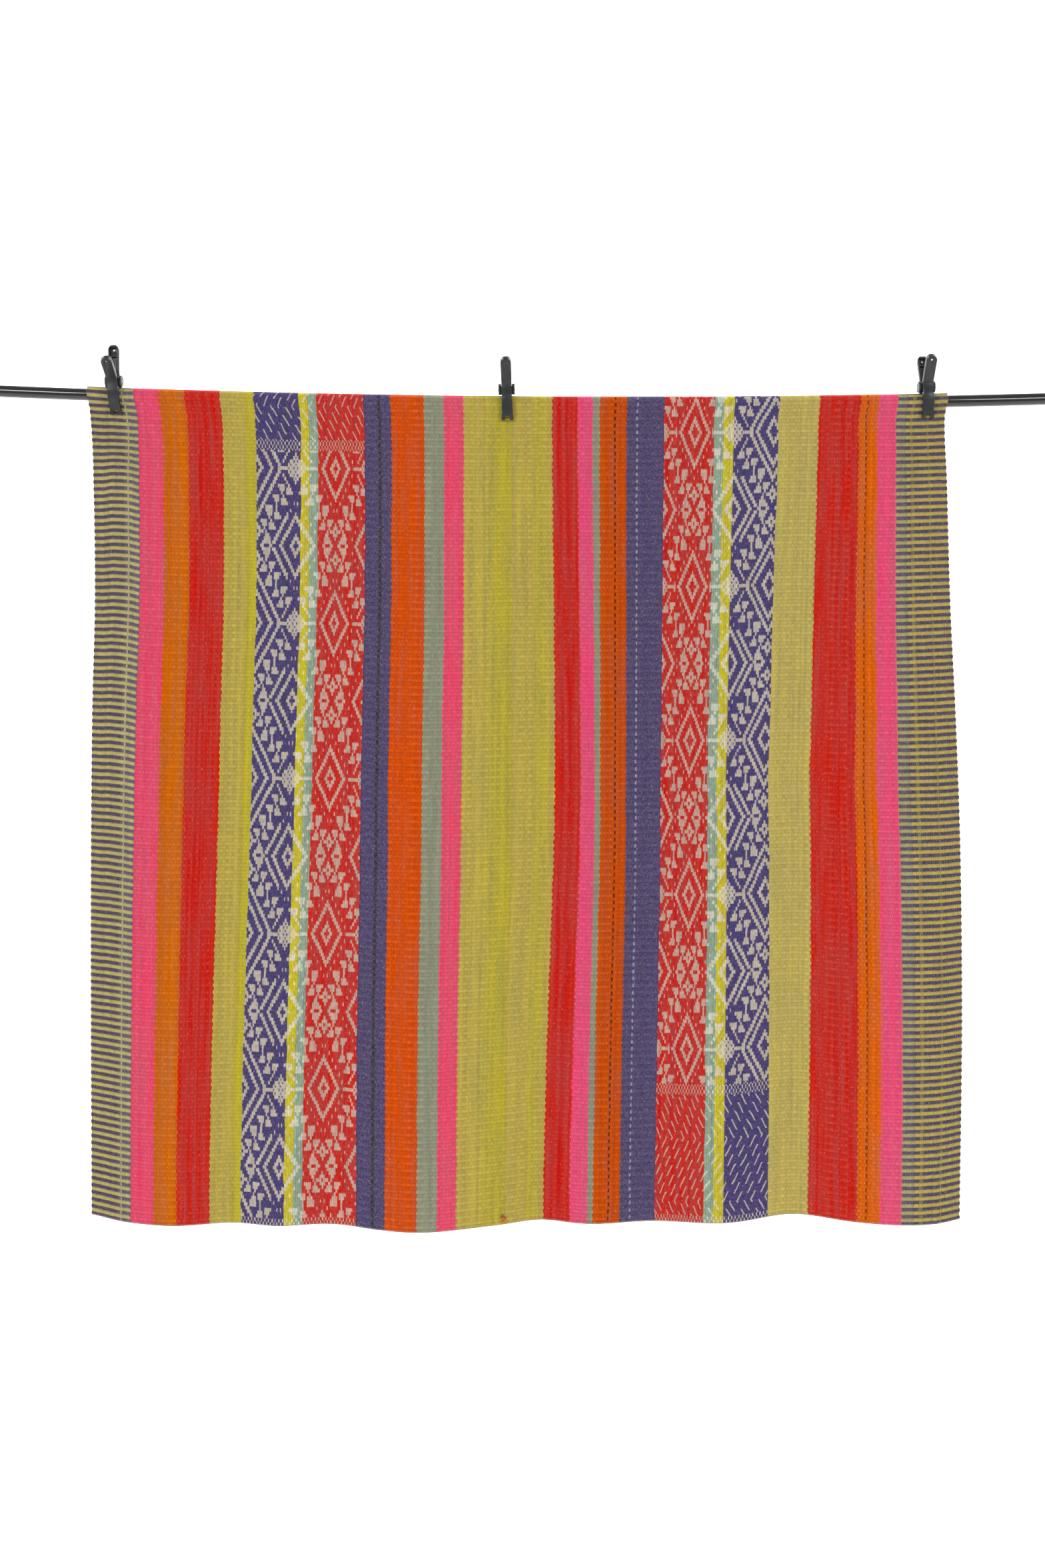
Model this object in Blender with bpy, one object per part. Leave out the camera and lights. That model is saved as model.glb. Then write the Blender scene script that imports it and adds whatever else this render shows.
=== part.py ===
"""Striped woven rug of two sewn panels, folded over a round rod and held by three spring clamps.

Units are metres. +Z is up, +X is to the right as seen from the front, and the front faces -Y.
The origin is on the rod's axis, halfway between the rod's two ends.
"""

import math

import bmesh
import bpy
from mathutils import Matrix

# Rod: a plain round rod whose middle hangs below its ends, and whose right end is the lower one
ROD_LENGTH = 1.80
ROD_RADIUS = 0.0095
ROD_BOW = 0.0171
ROD_TILT = 0.0067
ROD_RINGS = 30
ROD_SIDES = 20

# Cloth: thickness, its clearance round the rod, the seam gap and the short flap behind the rod
CLOTH_THICK = 0.0028
ROD_CLEARANCE = 0.0006
SEAM_GAP = 0.0003
BACK_FLAP = 0.075
DRAPE_RADIUS = ROD_RADIUS + ROD_CLEARANCE + CLOTH_THICK / 2

# Drop at which the cloth hangs free again below a clamp, and how far its curve runs on below the
# rod first, as parts of that drop: where it is free, and where a jaw pushes it in
SETTLED_DROP = 0.150
FREE_RUN = 0.4
PUSHED_RUN = 1.0

# Rows of the cloth from the back hem over the rod to the front hem
BACK_ROWS = 4
ARC_ROWS = 12
GRIP_ROWS = 8
HANG_ROWS = 15

# The upright lines of the cloth, a row for each height
SIDE_LINES = (
    # drop, left edge, seam, right edge
    (0.000, -0.6900, -0.0175, 0.6735),
    (0.030, -0.6840, -0.0175, 0.6685),
    (0.120, -0.6790, -0.0175, 0.6710),
    (0.320, -0.6762, -0.0165, 0.6765),
    (0.500, -0.6805, -0.0168, 0.6850),
    (0.720, -0.6826, -0.0185, 0.6925),
    (1.000, -0.6830, -0.0255, 0.6955),
    (1.290, -0.6820, -0.0290, 0.6920),
)
LEFT_EDGE, SEAM, RIGHT_EDGE = 1, 2, 3

# The lower hem, a row for each high or low place from left to right
HEM_LINE = (
    # across, drop
    (-0.690, 1.285),
    (-0.628, 1.297),
    (-0.548, 1.301),
    (-0.446, 1.298),
    (-0.373, 1.302),
    (-0.295, 1.299),
    (-0.217, 1.307),
    (-0.142, 1.310),
    (-0.030, 1.302),
    (0.043, 1.295),
    (0.107, 1.300),
    (0.212, 1.296),
    (0.335, 1.297),
    (0.444, 1.286),
    (0.534, 1.296),
    (0.640, 1.299),
    (0.692, 1.288),
)

# The soft upright folds, a row for each: they start at a drop and are deepest at the hem
FOLDS = (
    # across, half width, depth towards the front, starting drop
    (-0.640, 0.070, -0.005, 0.35),
    (-0.545, 0.075, 0.010, 0.20),
    (-0.445, 0.055, -0.006, 0.40),
    (-0.365, 0.060, 0.008, 0.45),
    (-0.290, 0.045, -0.004, 0.60),
    (-0.170, 0.095, 0.016, 0.15),
    (0.045, 0.075, -0.010, 0.25),
    (0.115, 0.050, 0.005, 0.70),
    (0.215, 0.060, -0.005, 0.50),
    (0.335, 0.070, 0.009, 0.30),
    (0.445, 0.065, -0.012, 0.20),
    (0.590, 0.085, 0.012, 0.25),
    (0.700, 0.045, -0.007, 0.60),
)
FULL_DROP = 1.29

# Clamps from left to right. Roll turns the handles to the front about the rod, lean tips them
# sideways, and push says how far the front jaw presses the cloth in under the rod
CLAMPS = (
    # name, across, roll, lean, push
    ("clamp_left", -0.6465, math.radians(27), math.radians(-2.5), 1.0),
    ("clamp_middle", -0.0245, math.radians(10), math.radians(-1.9), 0.5),
    ("clamp_right", 0.6415, math.radians(10), math.radians(-1.0), 0.5),
)
CLAMP_NAME, CLAMP_ACROSS, CLAMP_ROLL, CLAMP_LEAN, CLAMP_PUSH = range(5)
DENT_HALF_WIDTH = 0.034

# Columns of the cloth: their widest spacing, and the closer ones to each side of a clamp
COLUMN_SPACING = 0.060
NEAR_CLAMP = (0.0105, 0.020, 0.028, 0.036, 0.048)
EDGE_CLEARANCE = 0.004

# Clamp levers, in a frame with the rod's axis at zero: out is away from the rod, up is up
JAW_RADIUS = 0.0134
JAW_WRAP = math.radians(15)
JAW_TOUCH_TOP = math.radians(5)
JAW_TIP_DROP = 0.0255
THROAT_RADIUS = 0.0150
THROAT_FROM = math.radians(22)
THROAT_TO = math.radians(56)
NOTCH_WIDTH = 0.0072
NOTCH_HEIGHT = 0.0066

# Outer side of the jaw from the knee down to the tip, a row for each corner
JAW_SIDE = (
    # out, up
    (0.0140, 0.0260),
    (0.0170, 0.0205),
    (0.0200, 0.0145),
    (0.0212, 0.0080),
    (0.0210, 0.0000),
    (0.0194, -0.0120),
    (0.0166, -0.0255),
    (0.0130, -0.0255),
)

# Width of a lever from the front, a row for each height where it changes
LEVER_WIDTHS = (
    # half width, up
    (0.0094, -0.0280),
    (0.0094, -0.0210),
    (0.0084, -0.0155),
    (0.0084, 0.0080),
    (0.0081, 0.0150),
    (0.0081, 0.0300),
    (0.0084, 0.0425),
    (0.0084, 0.0900),
)

# Handle: a channel that is open to the inside, from the knee up to a round end
KNEE_OUT = 0.0135
KNEE_UP = 0.0290
HANDLE_ANGLE = math.radians(55.7)
HANDLE_LENGTH = 0.0480
HANDLE_DEPTH = 0.0080
HANDLE_HALF_WIDTH = 0.0084
HANDLE_SKIN = 0.0026
HANDLE_WALL = 0.0024
HANDLE_END_WALL = 0.0045
FRONT_POCKET_START = 0.0080
BACK_POCKET_START = 0.0010
RIB_AT = 0.0280
RIB_THICK = 0.0016
HOLE_RADIUS = 0.0016
HOLE_FROM_TIP = 0.0074
PAST_LEVER = 0.0040
LEVER_REACH = 0.0600

# Side outline of the handle's end, a row for each corner from the inner face to the outer face
HANDLE_END = (
    # back from the tip, in from the outer face
    (0.0008, 0.0080),
    (0.0000, 0.0068),
    (0.0000, 0.0028),
    (0.0006, 0.0010),
    (0.0018, 0.0000),
)

# Clamp hub: the pin's height, the eye of the front lever and the ears of the back lever
PIVOT_UP = 0.0225
PIN_RADIUS = 0.0020
PIN_CLEARANCE = 0.0003
PIN_LENGTH = 0.0268
EYE_RADIUS = 0.0072
EYE_FROM = math.radians(-62)
EYE_TO = math.radians(-300)
FRONT_HANDLE_START = 0.0065
EAR_RADIUS = 0.0092
EAR_INNER = 0.0085
EAR_OUTER = 0.0129
EAR_FROM = math.radians(48)
EAR_TO = math.radians(300)
BACK_HANDLE_START = 0.0085
CLOTH_CLEAR_RADIUS = 0.0148
SLOT_HALF_WIDTH = 0.0042

# Inner side of the back lever at the hub, clear of the front lever's eye
BACK_HUB_SIDE = (
    # out, up
    (0.0088, 0.0143),
    (0.0080, 0.0173),
    (0.0080, 0.0297),
)

# Corners that tie each ear to the back lever, and the bar behind the hub that joins the ears
EAR_ROOT = (
    # out, up
    (0.0120, 0.0155),
    (0.0125, 0.0270),
)
EAR_BAR = (
    # out, up
    (0.0080, 0.0165),
    (0.0125, 0.0157),
    (0.0128, 0.0260),
    (0.0080, 0.0285),
)

# Slot in the front lever that takes the spring's coil, below its way into the handle's channel
COIL_SLOT = (
    # out, up
    (-0.0100, 0.0375),
    (-0.0100, 0.0133),
    (0.0052, 0.0133),
    (0.0058, 0.0245),
)
SLOT_TO_CHANNEL = (
    # up the handle, in from the outer face
    (0.0090, 0.0038),
    (0.0120, 0.0120),
)

# Torsion spring round the pin, with one leg in each handle's channel
WIRE_RADIUS = 0.0008
COIL_RADIUS = 0.0035
COIL_TURNS = 3
COIL_PITCH = 0.0019
COIL_STEPS = 12
LEG_END = 0.0256
SEAT_GAP = 0.0003


def clear_objects():
    for old in list(bpy.data.objects):
        bpy.data.objects.remove(old, do_unlink=True)


def make_material(name, color, roughness, metallic=0.0):
    material = bpy.data.materials.new(name)
    material.use_nodes = True
    shader = material.node_tree.nodes["Principled BSDF"]
    shader.inputs["Base Color"].default_value = (*color, 1.0)
    shader.inputs["Roughness"].default_value = roughness
    shader.inputs["Metallic"].default_value = metallic
    material.diffuse_color = (*color, 1.0)
    return material


def add_object(name, mesh, material, parent=None):
    piece = bpy.data.objects.new(name, mesh)
    bpy.context.scene.collection.objects.link(piece)
    if not mesh.materials:
        mesh.materials.append(material)
    piece.parent = parent
    return piece


def hermite(start, end, start_slope, end_slope, t):
    """A smooth step from start to end, with the given slopes at its two ends."""
    square = t * t
    cube = square * t
    from_start = 2 * cube - 3 * square + 1
    return (
        from_start * start
        + (cube - 2 * square + t) * start_slope
        + (1 - from_start) * end
        + (cube - square) * end_slope
    )


def read_table(rows, column, place):
    """The column's value at a place along the first column, on a smooth curve through the rows."""
    if place <= rows[0][0]:
        return rows[0][column]
    if place >= rows[-1][0]:
        return rows[-1][column]
    index = max(i for i, row in enumerate(rows) if row[0] <= place)
    before = rows[max(index - 1, 0)]
    start = rows[index]
    end = rows[index + 1]
    after = rows[min(index + 2, len(rows) - 1)]
    span = end[0] - start[0]
    start_slope = (end[column] - before[column]) / (end[0] - before[0]) * span
    end_slope = (after[column] - start[column]) / (after[0] - start[0]) * span
    return hermite(start[column], end[column], start_slope, end_slope, (place - start[0]) / span)


def smooth_step(t):
    t = min(max(t, 0.0), 1.0)
    return t * t * (3 - 2 * t)


def rod_rise(across):
    """Height of the rod's axis above the origin: a shallow bow with a slight tilt."""
    place = across / (ROD_LENGTH / 2)
    return ROD_BOW * place * place - ROD_TILT * place


def fold_depth(across, drop):
    """How far the hanging cloth stands to the front of its plane."""
    return sum(
        depth * math.exp(-(((across - middle) / width) ** 2))
        * smooth_step((drop - start) / (FULL_DROP - start))
        for middle, width, depth, start in FOLDS
    )


def clamp_grip(across):
    """The angles that the jaws wrap the cloth past the rod's sides, front and back, and the push."""
    front = back = push = 0.0
    for clamp in CLAMPS:
        near = math.exp(-(((across - clamp[CLAMP_ACROSS]) / DENT_HALF_WIDTH) ** 4))
        front += near * (JAW_WRAP + clamp[CLAMP_ROLL])
        back += near * max(JAW_WRAP - clamp[CLAMP_ROLL], 0.0)
        push += near * clamp[CLAMP_PUSH]
    return front, back, push


def drape_section(across_top, side_lines, share):
    """The middle line of the cloth at one column, as rows of (x, y, z, normal y, normal z)."""
    front_wrap, back_wrap, push = clamp_grip(across_top)
    left, right = side_lines
    rise = rod_rise(across_top)
    hem_drop = read_table(HEM_LINE, 1, across_top)

    def across_at(drop):
        left_x = read_table(SIDE_LINES, left[0], drop) + left[1]
        right_x = read_table(SIDE_LINES, right[0], drop) + right[1]
        return left_x + (right_x - left_x) * share

    rows = []
    arc_start = -math.pi / 2 - back_wrap
    arc_end = math.pi / 2 + front_wrap
    leave_y = -DRAPE_RADIUS * math.sin(arc_start)
    leave_z = DRAPE_RADIUS * math.cos(arc_start)
    for row in range(BACK_ROWS):
        t = 1 - row / BACK_ROWS
        speed = BACK_FLAP / 2
        y = hermite(leave_y, DRAPE_RADIUS, -speed * math.sin(back_wrap), 0.0, t)
        z = hermite(leave_z, -BACK_FLAP, -speed * math.cos(back_wrap), -BACK_FLAP, t)
        rows.append((across_at(-z), y, z + rise, 1.0, 0.0))
    for row in range(ARC_ROWS + 1):
        angle = arc_start + (arc_end - arc_start) * row / ARC_ROWS
        normal_y = -math.sin(angle)
        normal_z = math.cos(angle)
        z = DRAPE_RADIUS * normal_z
        rows.append((across_at(-z), DRAPE_RADIUS * normal_y, z + rise, normal_y, normal_z))
    leave_y = -DRAPE_RADIUS * math.sin(arc_end)
    leave_z = DRAPE_RADIUS * math.cos(arc_end)
    speed = SETTLED_DROP * (FREE_RUN + (PUSHED_RUN - FREE_RUN) * push)
    for row in range(1, GRIP_ROWS + 1):
        t = (row / GRIP_ROWS) ** 1.5
        y = hermite(leave_y, -DRAPE_RADIUS, speed * math.sin(front_wrap), 0.0, t)
        z = hermite(leave_z, -SETTLED_DROP, -speed * math.cos(front_wrap), -SETTLED_DROP, t)
        turn = front_wrap * max(1 - 3 * t, 0.0)
        rows.append((across_at(-z), y, z + rise, -math.cos(turn), -math.sin(turn)))
    for row in range(1, HANG_ROWS + 1):
        t = row / HANG_ROWS
        drop = SETTLED_DROP + (hem_drop - SETTLED_DROP) * t
        x = across_at(drop)
        y = -DRAPE_RADIUS - fold_depth(x, drop)
        rows.append((x, y, rise * (1 - t) - drop, -1.0, 0.0))
    return rows


def column_places(left_x, right_x):
    """Columns of the cloth from left to right, closer together where a clamp dents it."""
    first = left_x + EDGE_CLEARANCE
    last = right_x - EDGE_CLEARANCE
    middles = [clamp[CLAMP_ACROSS] for clamp in CLAMPS]
    places = [middle + side * near for middle in middles for near in NEAR_CLAMP for side in (-1, 1)]
    places = [left_x, *sorted(place for place in places if first < place < last), right_x]
    columns = []
    for start, end in zip(places[:-1], places[1:]):
        parts = max(1, round((end - start) / COLUMN_SPACING))
        columns += [start + (end - start) * part / parts for part in range(parts)]
    return [*columns, right_x]


def finish_mesh(name, shell, sharp_angle=math.radians(40)):
    mesh = bpy.data.meshes.new(name)
    shell.to_mesh(mesh)
    shell.free()
    mesh.shade_smooth()
    mesh.set_sharp_from_angle(angle=sharp_angle)
    return mesh


def make_panel(name, side_lines, material):
    """One loom width of cloth: a thin closed sheet on its folds, from back hem to front hem."""
    left, right = side_lines
    left_x = SIDE_LINES[0][left[0]] + left[1]
    right_x = SIDE_LINES[0][right[0]] + right[1]
    shell = bmesh.new()
    outer = []
    inner = []
    for across in column_places(left_x, right_x):
        share = (across - left_x) / (right_x - left_x)
        outer_column = []
        inner_column = []
        for x, y, z, normal_y, normal_z in drape_section(across, side_lines, share):
            reach_y = normal_y * CLOTH_THICK / 2
            reach_z = normal_z * CLOTH_THICK / 2
            outer_column.append(shell.verts.new((x, y + reach_y, z + reach_z)))
            inner_column.append(shell.verts.new((x, y - reach_y, z - reach_z)))
        outer.append(outer_column)
        inner.append(inner_column)
    rows = len(outer[0])
    for column in range(len(outer) - 1):
        for row in range(rows - 1):
            for side in (outer, inner):
                here, beside = side[column], side[column + 1]
                shell.faces.new((here[row], beside[row], beside[row + 1], here[row + 1]))
    rim = [(outer[0][row], inner[0][row]) for row in range(rows)]
    rim += [(outer[column][-1], inner[column][-1]) for column in range(1, len(outer))]
    rim += [(outer[-1][row], inner[-1][row]) for row in range(rows - 2, -1, -1)]
    rim += [(outer[column][0], inner[column][0]) for column in range(len(outer) - 2, 0, -1)]
    for here, after in zip(rim, rim[1:] + rim[:1]):
        shell.faces.new((here[0], here[1], after[1], after[0]))
    bmesh.ops.recalc_face_normals(shell, faces=shell.faces)
    return add_object(name, finish_mesh(name, shell), material)


def make_rod(material):
    """Round rod: rings in upright planes, each raised to the bow, and a flat face at each end."""
    shell = bmesh.new()
    turn = Matrix.Rotation(math.pi / 2, 4, "Y")
    rings = []
    for index in range(ROD_RINGS + 1):
        across = ROD_LENGTH * (index / ROD_RINGS - 0.5)
        place = Matrix.Translation((across, 0.0, rod_rise(across)))
        ring = bmesh.ops.create_circle(
            shell, segments=ROD_SIDES, radius=ROD_RADIUS, matrix=place @ turn
        )["verts"]
        edges = {edge for vert in ring for edge in vert.link_edges}
        if rings:
            bmesh.ops.bridge_loops(shell, edges=[*rings[-1], *edges])
        rings.append(edges)
    bmesh.ops.contextual_create(shell, geom=list(rings[0]))
    bmesh.ops.contextual_create(shell, geom=list(rings[-1]))
    bmesh.ops.recalc_face_normals(shell, faces=shell.faces)
    return add_object("rod", finish_mesh("rod", shell), material)


def arc(middle_out, middle_up, radius, start, end, steps):
    """Points on a round stretch of an outline, as (out, up)."""
    points = []
    for step in range(steps + 1):
        angle = start + (end - start) * step / steps
        out = middle_out + radius * math.cos(angle)
        points.append((out, middle_up + radius * math.sin(angle)))
    return points


def clear_of_cloth(points):
    """Pushes points of an outline out to a set distance from the rod's axis."""
    cleared = []
    for out, up in points:
        scale = max(1.0, CLOTH_CLEAR_RADIUS / math.hypot(out, up))
        cleared.append((out * scale, up * scale))
    return cleared


def along_handle(distance, depth):
    """A point on the handle: distance up from the knee, depth in from its outer face."""
    out = KNEE_OUT + distance * math.cos(HANDLE_ANGLE) - depth * math.sin(HANDLE_ANGLE)
    up = KNEE_UP + distance * math.sin(HANDLE_ANGLE) + depth * math.cos(HANDLE_ANGLE)
    return out, up


def jaw_outline():
    """The lower half of either lever, from the knee down round the jaw and up to the hub."""
    grip = arc(0.0, 0.0, JAW_RADIUS, -JAW_WRAP, JAW_TOUCH_TOP, 3)
    throat = arc(0.0, 0.0, THROAT_RADIUS, THROAT_FROM, THROAT_TO, 4)
    return [*JAW_SIDE, *grip, *throat]


def handle_outline():
    """The upper half of either lever, from its inner face over the round end to the knee."""
    end = [along_handle(HANDLE_LENGTH - back, inward) for back, inward in HANDLE_END]
    return [*end, along_handle(0.0, 0.0)]


def new_tool(name, mesh):
    """A helper solid for one Boolean step, kept out of renders and drawn as wire."""
    tool = bpy.data.objects.new(name, mesh)
    tool.hide_render = True
    tool.display_type = "WIRE"
    bpy.context.scene.collection.objects.link(tool)
    return tool


def pull_outline(name, corners, pull):
    """A solid with the given flat outline of (x, y, z) corners, pulled along one direction."""
    shell = bmesh.new()
    face = shell.faces.new([shell.verts.new(corner) for corner in corners])
    pulled = bmesh.ops.extrude_face_region(shell, geom=[face])["geom"]
    moved = [item for item in pulled if isinstance(item, bmesh.types.BMVert)]
    bmesh.ops.translate(shell, verts=moved, vec=pull)
    bmesh.ops.recalc_face_normals(shell, faces=shell.faces)
    mesh = bpy.data.meshes.new(name)
    shell.to_mesh(mesh)
    shell.free()
    return new_tool(name, mesh)


def extrude_outline(name, outline, left, right, front):
    """A solid with the given side outline, from left to right along X; front lies towards -Y."""
    side = -1.0 if front else 1.0
    corners = [(left, side * out, up) for out, up in outline]
    return pull_outline(name, corners, (right - left, 0.0, 0.0))


def round_tool(name, radius, length, place):
    shell = bmesh.new()
    bmesh.ops.create_cone(
        shell, cap_ends=True, segments=12, radius1=radius, radius2=radius, depth=length,
        matrix=place,
    )
    mesh = bpy.data.meshes.new(name)
    shell.to_mesh(mesh)
    shell.free()
    return new_tool(name, mesh)


def combine(solid, tool, operation):
    """Applies one Boolean step to the solid and removes the tool."""
    step = solid.modifiers.new(operation, "BOOLEAN")
    step.operation = operation
    step.solver = "EXACT"
    step.object = tool
    evaluated = solid.evaluated_get(bpy.context.evaluated_depsgraph_get())
    result = bpy.data.meshes.new_from_object(evaluated)
    solid.modifiers.clear()
    solid.data = result
    bpy.data.objects.remove(tool, do_unlink=True)


def front_silhouette():
    """The lever's width from the front: a flared jaw tip, a slim hub and a wider handle."""
    left = [(-half_width, up) for half_width, up in reversed(LEVER_WIDTHS)]
    corners = [(across, -LEVER_REACH, up) for across, up in [*LEVER_WIDTHS, *left]]
    return pull_outline("silhouette", corners, (0.0, 2 * LEVER_REACH, 0.0))


def handle_silhouette(front):
    """The handle's round end, as seen square to its outer face."""
    side = -1.0 if front else 1.0
    wide = 2 * HANDLE_HALF_WIDTH
    end_start = HANDLE_LENGTH - HANDLE_HALF_WIDTH
    right = [(wide, -HANDLE_LENGTH - LEVER_REACH), (wide, end_start)]
    left = [(-across, along) for across, along in reversed(right)]
    end = arc(0.0, end_start, HANDLE_HALF_WIDTH, 0.0, math.pi, 12)
    corners = []
    for across, along in [*right, *end, *left]:
        out, up = along_handle(along, -LEVER_REACH)
        corners.append((across, side * out, up))
    near_out, near_up = along_handle(0.0, -LEVER_REACH)
    far_out, far_up = along_handle(0.0, LEVER_REACH)
    pull = (0.0, side * (far_out - near_out), far_up - near_up)
    return pull_outline("handle_end", corners, pull)


def cut_handle(lever, front, pocket_start):
    """Hollows the handle from its inner side, leaves a cross rib, and bores the hanging hole."""
    half = HANDLE_HALF_WIDTH - HANDLE_WALL
    past = HANDLE_DEPTH + PAST_LEVER
    pocket_end = HANDLE_LENGTH - HANDLE_END_WALL
    for start, end in ((pocket_start, RIB_AT), (RIB_AT + RIB_THICK, pocket_end)):
        pocket = [
            along_handle(start, HANDLE_SKIN),
            along_handle(end, HANDLE_SKIN),
            along_handle(end, past),
            along_handle(start, past),
        ]
        combine(lever, extrude_outline("pocket", pocket, -half, half, front), "DIFFERENCE")
    side = -1.0 if front else 1.0
    out, up = along_handle(HANDLE_LENGTH - HOLE_FROM_TIP, 0.0)
    turn = math.pi / 2 - side * (math.pi / 2 - HANDLE_ANGLE)
    place = Matrix.Translation((0.0, side * out, up)) @ Matrix.Rotation(turn, 4, "X")
    combine(lever, round_tool("bore", HOLE_RADIUS, 3 * PAST_LEVER, place), "DIFFERENCE")


def cut_notch(lever, front):
    """Cuts the square notch in the jaw's tip."""
    below = -JAW_TIP_DROP - PAST_LEVER
    top = -JAW_TIP_DROP + NOTCH_HEIGHT
    notch = [(0.0, below), (LEVER_REACH, below), (LEVER_REACH, top), (0.0, top)]
    half = NOTCH_WIDTH / 2
    combine(lever, extrude_outline("notch", notch, -half, half, front), "DIFFERENCE")


def pin_bore():
    place = Matrix.Translation((0.0, 0.0, PIVOT_UP)) @ Matrix.Rotation(math.pi / 2, 4, "Y")
    return round_tool("pin_bore", PIN_RADIUS + PIN_CLEARANCE, 2 * PIN_LENGTH, place)


def front_lever_mesh():
    """Front lever: handle, jaw and an eye round the pin, slotted for the spring's coil."""
    eye = clear_of_cloth(arc(0.0, PIVOT_UP, EYE_RADIUS, EYE_FROM, EYE_TO, 16))
    handle_start = along_handle(FRONT_HANDLE_START, HANDLE_DEPTH)
    outline = [*handle_outline(), *jaw_outline(), *eye, handle_start]
    lever = extrude_outline("front_lever", outline, -EAR_OUTER, EAR_OUTER, True)
    combine(lever, front_silhouette(), "INTERSECT")
    combine(lever, handle_silhouette(True), "INTERSECT")
    cut_handle(lever, True, FRONT_POCKET_START)
    slot = [*COIL_SLOT, *(along_handle(along, inward) for along, inward in SLOT_TO_CHANNEL)]
    slot_tool = extrude_outline("slot", slot, -SLOT_HALF_WIDTH, SLOT_HALF_WIDTH, True)
    combine(lever, slot_tool, "DIFFERENCE")
    cut_notch(lever, True)
    combine(lever, pin_bore(), "DIFFERENCE")
    return keep_mesh(lever)


def back_lever_mesh():
    """Back lever: handle and jaw, with two ears that flank the front lever and hold the pin."""
    handle_start = along_handle(BACK_HANDLE_START, HANDLE_DEPTH)
    outline = [*handle_outline(), *jaw_outline(), *BACK_HUB_SIDE, handle_start]
    lever = extrude_outline("back_lever", outline, -EAR_OUTER, EAR_OUTER, False)
    combine(lever, front_silhouette(), "INTERSECT")
    combine(lever, handle_silhouette(False), "INTERSECT")
    combine(lever, extrude_outline("bar", EAR_BAR, -EAR_OUTER, EAR_OUTER, False), "UNION")
    ear = clear_of_cloth(arc(0.0, PIVOT_UP, EAR_RADIUS, EAR_FROM, EAR_TO, 16))
    ear = [*ear, *EAR_ROOT]
    combine(lever, extrude_outline("ear", ear, EAR_INNER, EAR_OUTER, False), "UNION")
    combine(lever, extrude_outline("ear", ear, -EAR_OUTER, -EAR_INNER, False), "UNION")
    cut_handle(lever, False, BACK_POCKET_START)
    cut_notch(lever, False)
    combine(lever, pin_bore(), "DIFFERENCE")
    return keep_mesh(lever)


def keep_mesh(solid):
    """The finished mesh of a scratch object, which is then removed."""
    mesh = solid.data
    mesh.shade_smooth()
    mesh.set_sharp_from_angle(angle=math.radians(30))
    bpy.data.objects.remove(solid, do_unlink=True)
    return mesh


def pin_mesh():
    shell = bmesh.new()
    place = Matrix.Translation((0.0, 0.0, PIVOT_UP)) @ Matrix.Rotation(math.pi / 2, 4, "Y")
    bmesh.ops.create_cone(
        shell, cap_ends=True, segments=14, radius1=PIN_RADIUS, radius2=PIN_RADIUS,
        depth=PIN_LENGTH, matrix=place,
    )
    return finish_mesh("pin", shell)


def spring_route():
    """The spring's wire: up one handle's channel, round the pin, and up the other channel."""
    leg_out, leg_up = along_handle(LEG_END, HANDLE_SKIN + SEAT_GAP + WIRE_RADIUS)
    reach = math.hypot(leg_out, leg_up - PIVOT_UP)
    leg_angle = math.atan2(leg_up - PIVOT_UP, leg_out)
    tangent_angle = leg_angle + math.acos(COIL_RADIUS / reach)
    front_turn = math.pi - tangent_angle
    sweep = 2 * math.pi * COIL_TURNS + (tangent_angle - front_turn)
    steps = round(sweep / (2 * math.pi) * COIL_STEPS)
    half_coil = COIL_PITCH * sweep / (4 * math.pi)
    route = [(-half_coil, -leg_out, leg_up)]
    for step in range(steps + 1):
        share = step / steps
        angle = front_turn + sweep * share
        y = COIL_RADIUS * math.cos(angle)
        z = PIVOT_UP + COIL_RADIUS * math.sin(angle)
        route.append((half_coil * (2 * share - 1), y, z))
    route.append((half_coil, leg_out, leg_up))
    return route


def spring_mesh():
    """Torsion spring of round wire, as a tube along its route."""
    route = spring_route()
    curve = bpy.data.curves.new("spring_route", "CURVE")
    curve.dimensions = "3D"
    curve.bevel_depth = WIRE_RADIUS
    curve.bevel_resolution = 1
    curve.use_fill_caps = True
    spline = curve.splines.new("POLY")
    spline.points.add(len(route) - 1)
    for point, place in zip(spline.points, route):
        point.co = (*place, 1.0)
    guide = bpy.data.objects.new("spring_route", curve)
    bpy.context.scene.collection.objects.link(guide)
    evaluated = guide.evaluated_get(bpy.context.evaluated_depsgraph_get())
    mesh = bpy.data.meshes.new_from_object(evaluated)
    bpy.data.objects.remove(guide, do_unlink=True)
    mesh.shade_smooth()
    return mesh


def make_clamps(plastic, steel):
    meshes = (
        ("front_lever", front_lever_mesh(), plastic),
        ("back_lever", back_lever_mesh(), plastic),
        ("pin", pin_mesh(), steel),
        ("spring", spring_mesh(), steel),
    )
    for clamp in CLAMPS:
        holder = bpy.data.objects.new(clamp[CLAMP_NAME], None)
        bpy.context.scene.collection.objects.link(holder)
        across = clamp[CLAMP_ACROSS]
        holder.location = (across, 0.0, rod_rise(across))
        holder.rotation_euler = (clamp[CLAMP_ROLL], clamp[CLAMP_LEAN], 0.0)
        for part_name, mesh, material in meshes:
            add_object(f"{clamp[CLAMP_NAME]}_{part_name}", mesh, material, holder)


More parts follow.
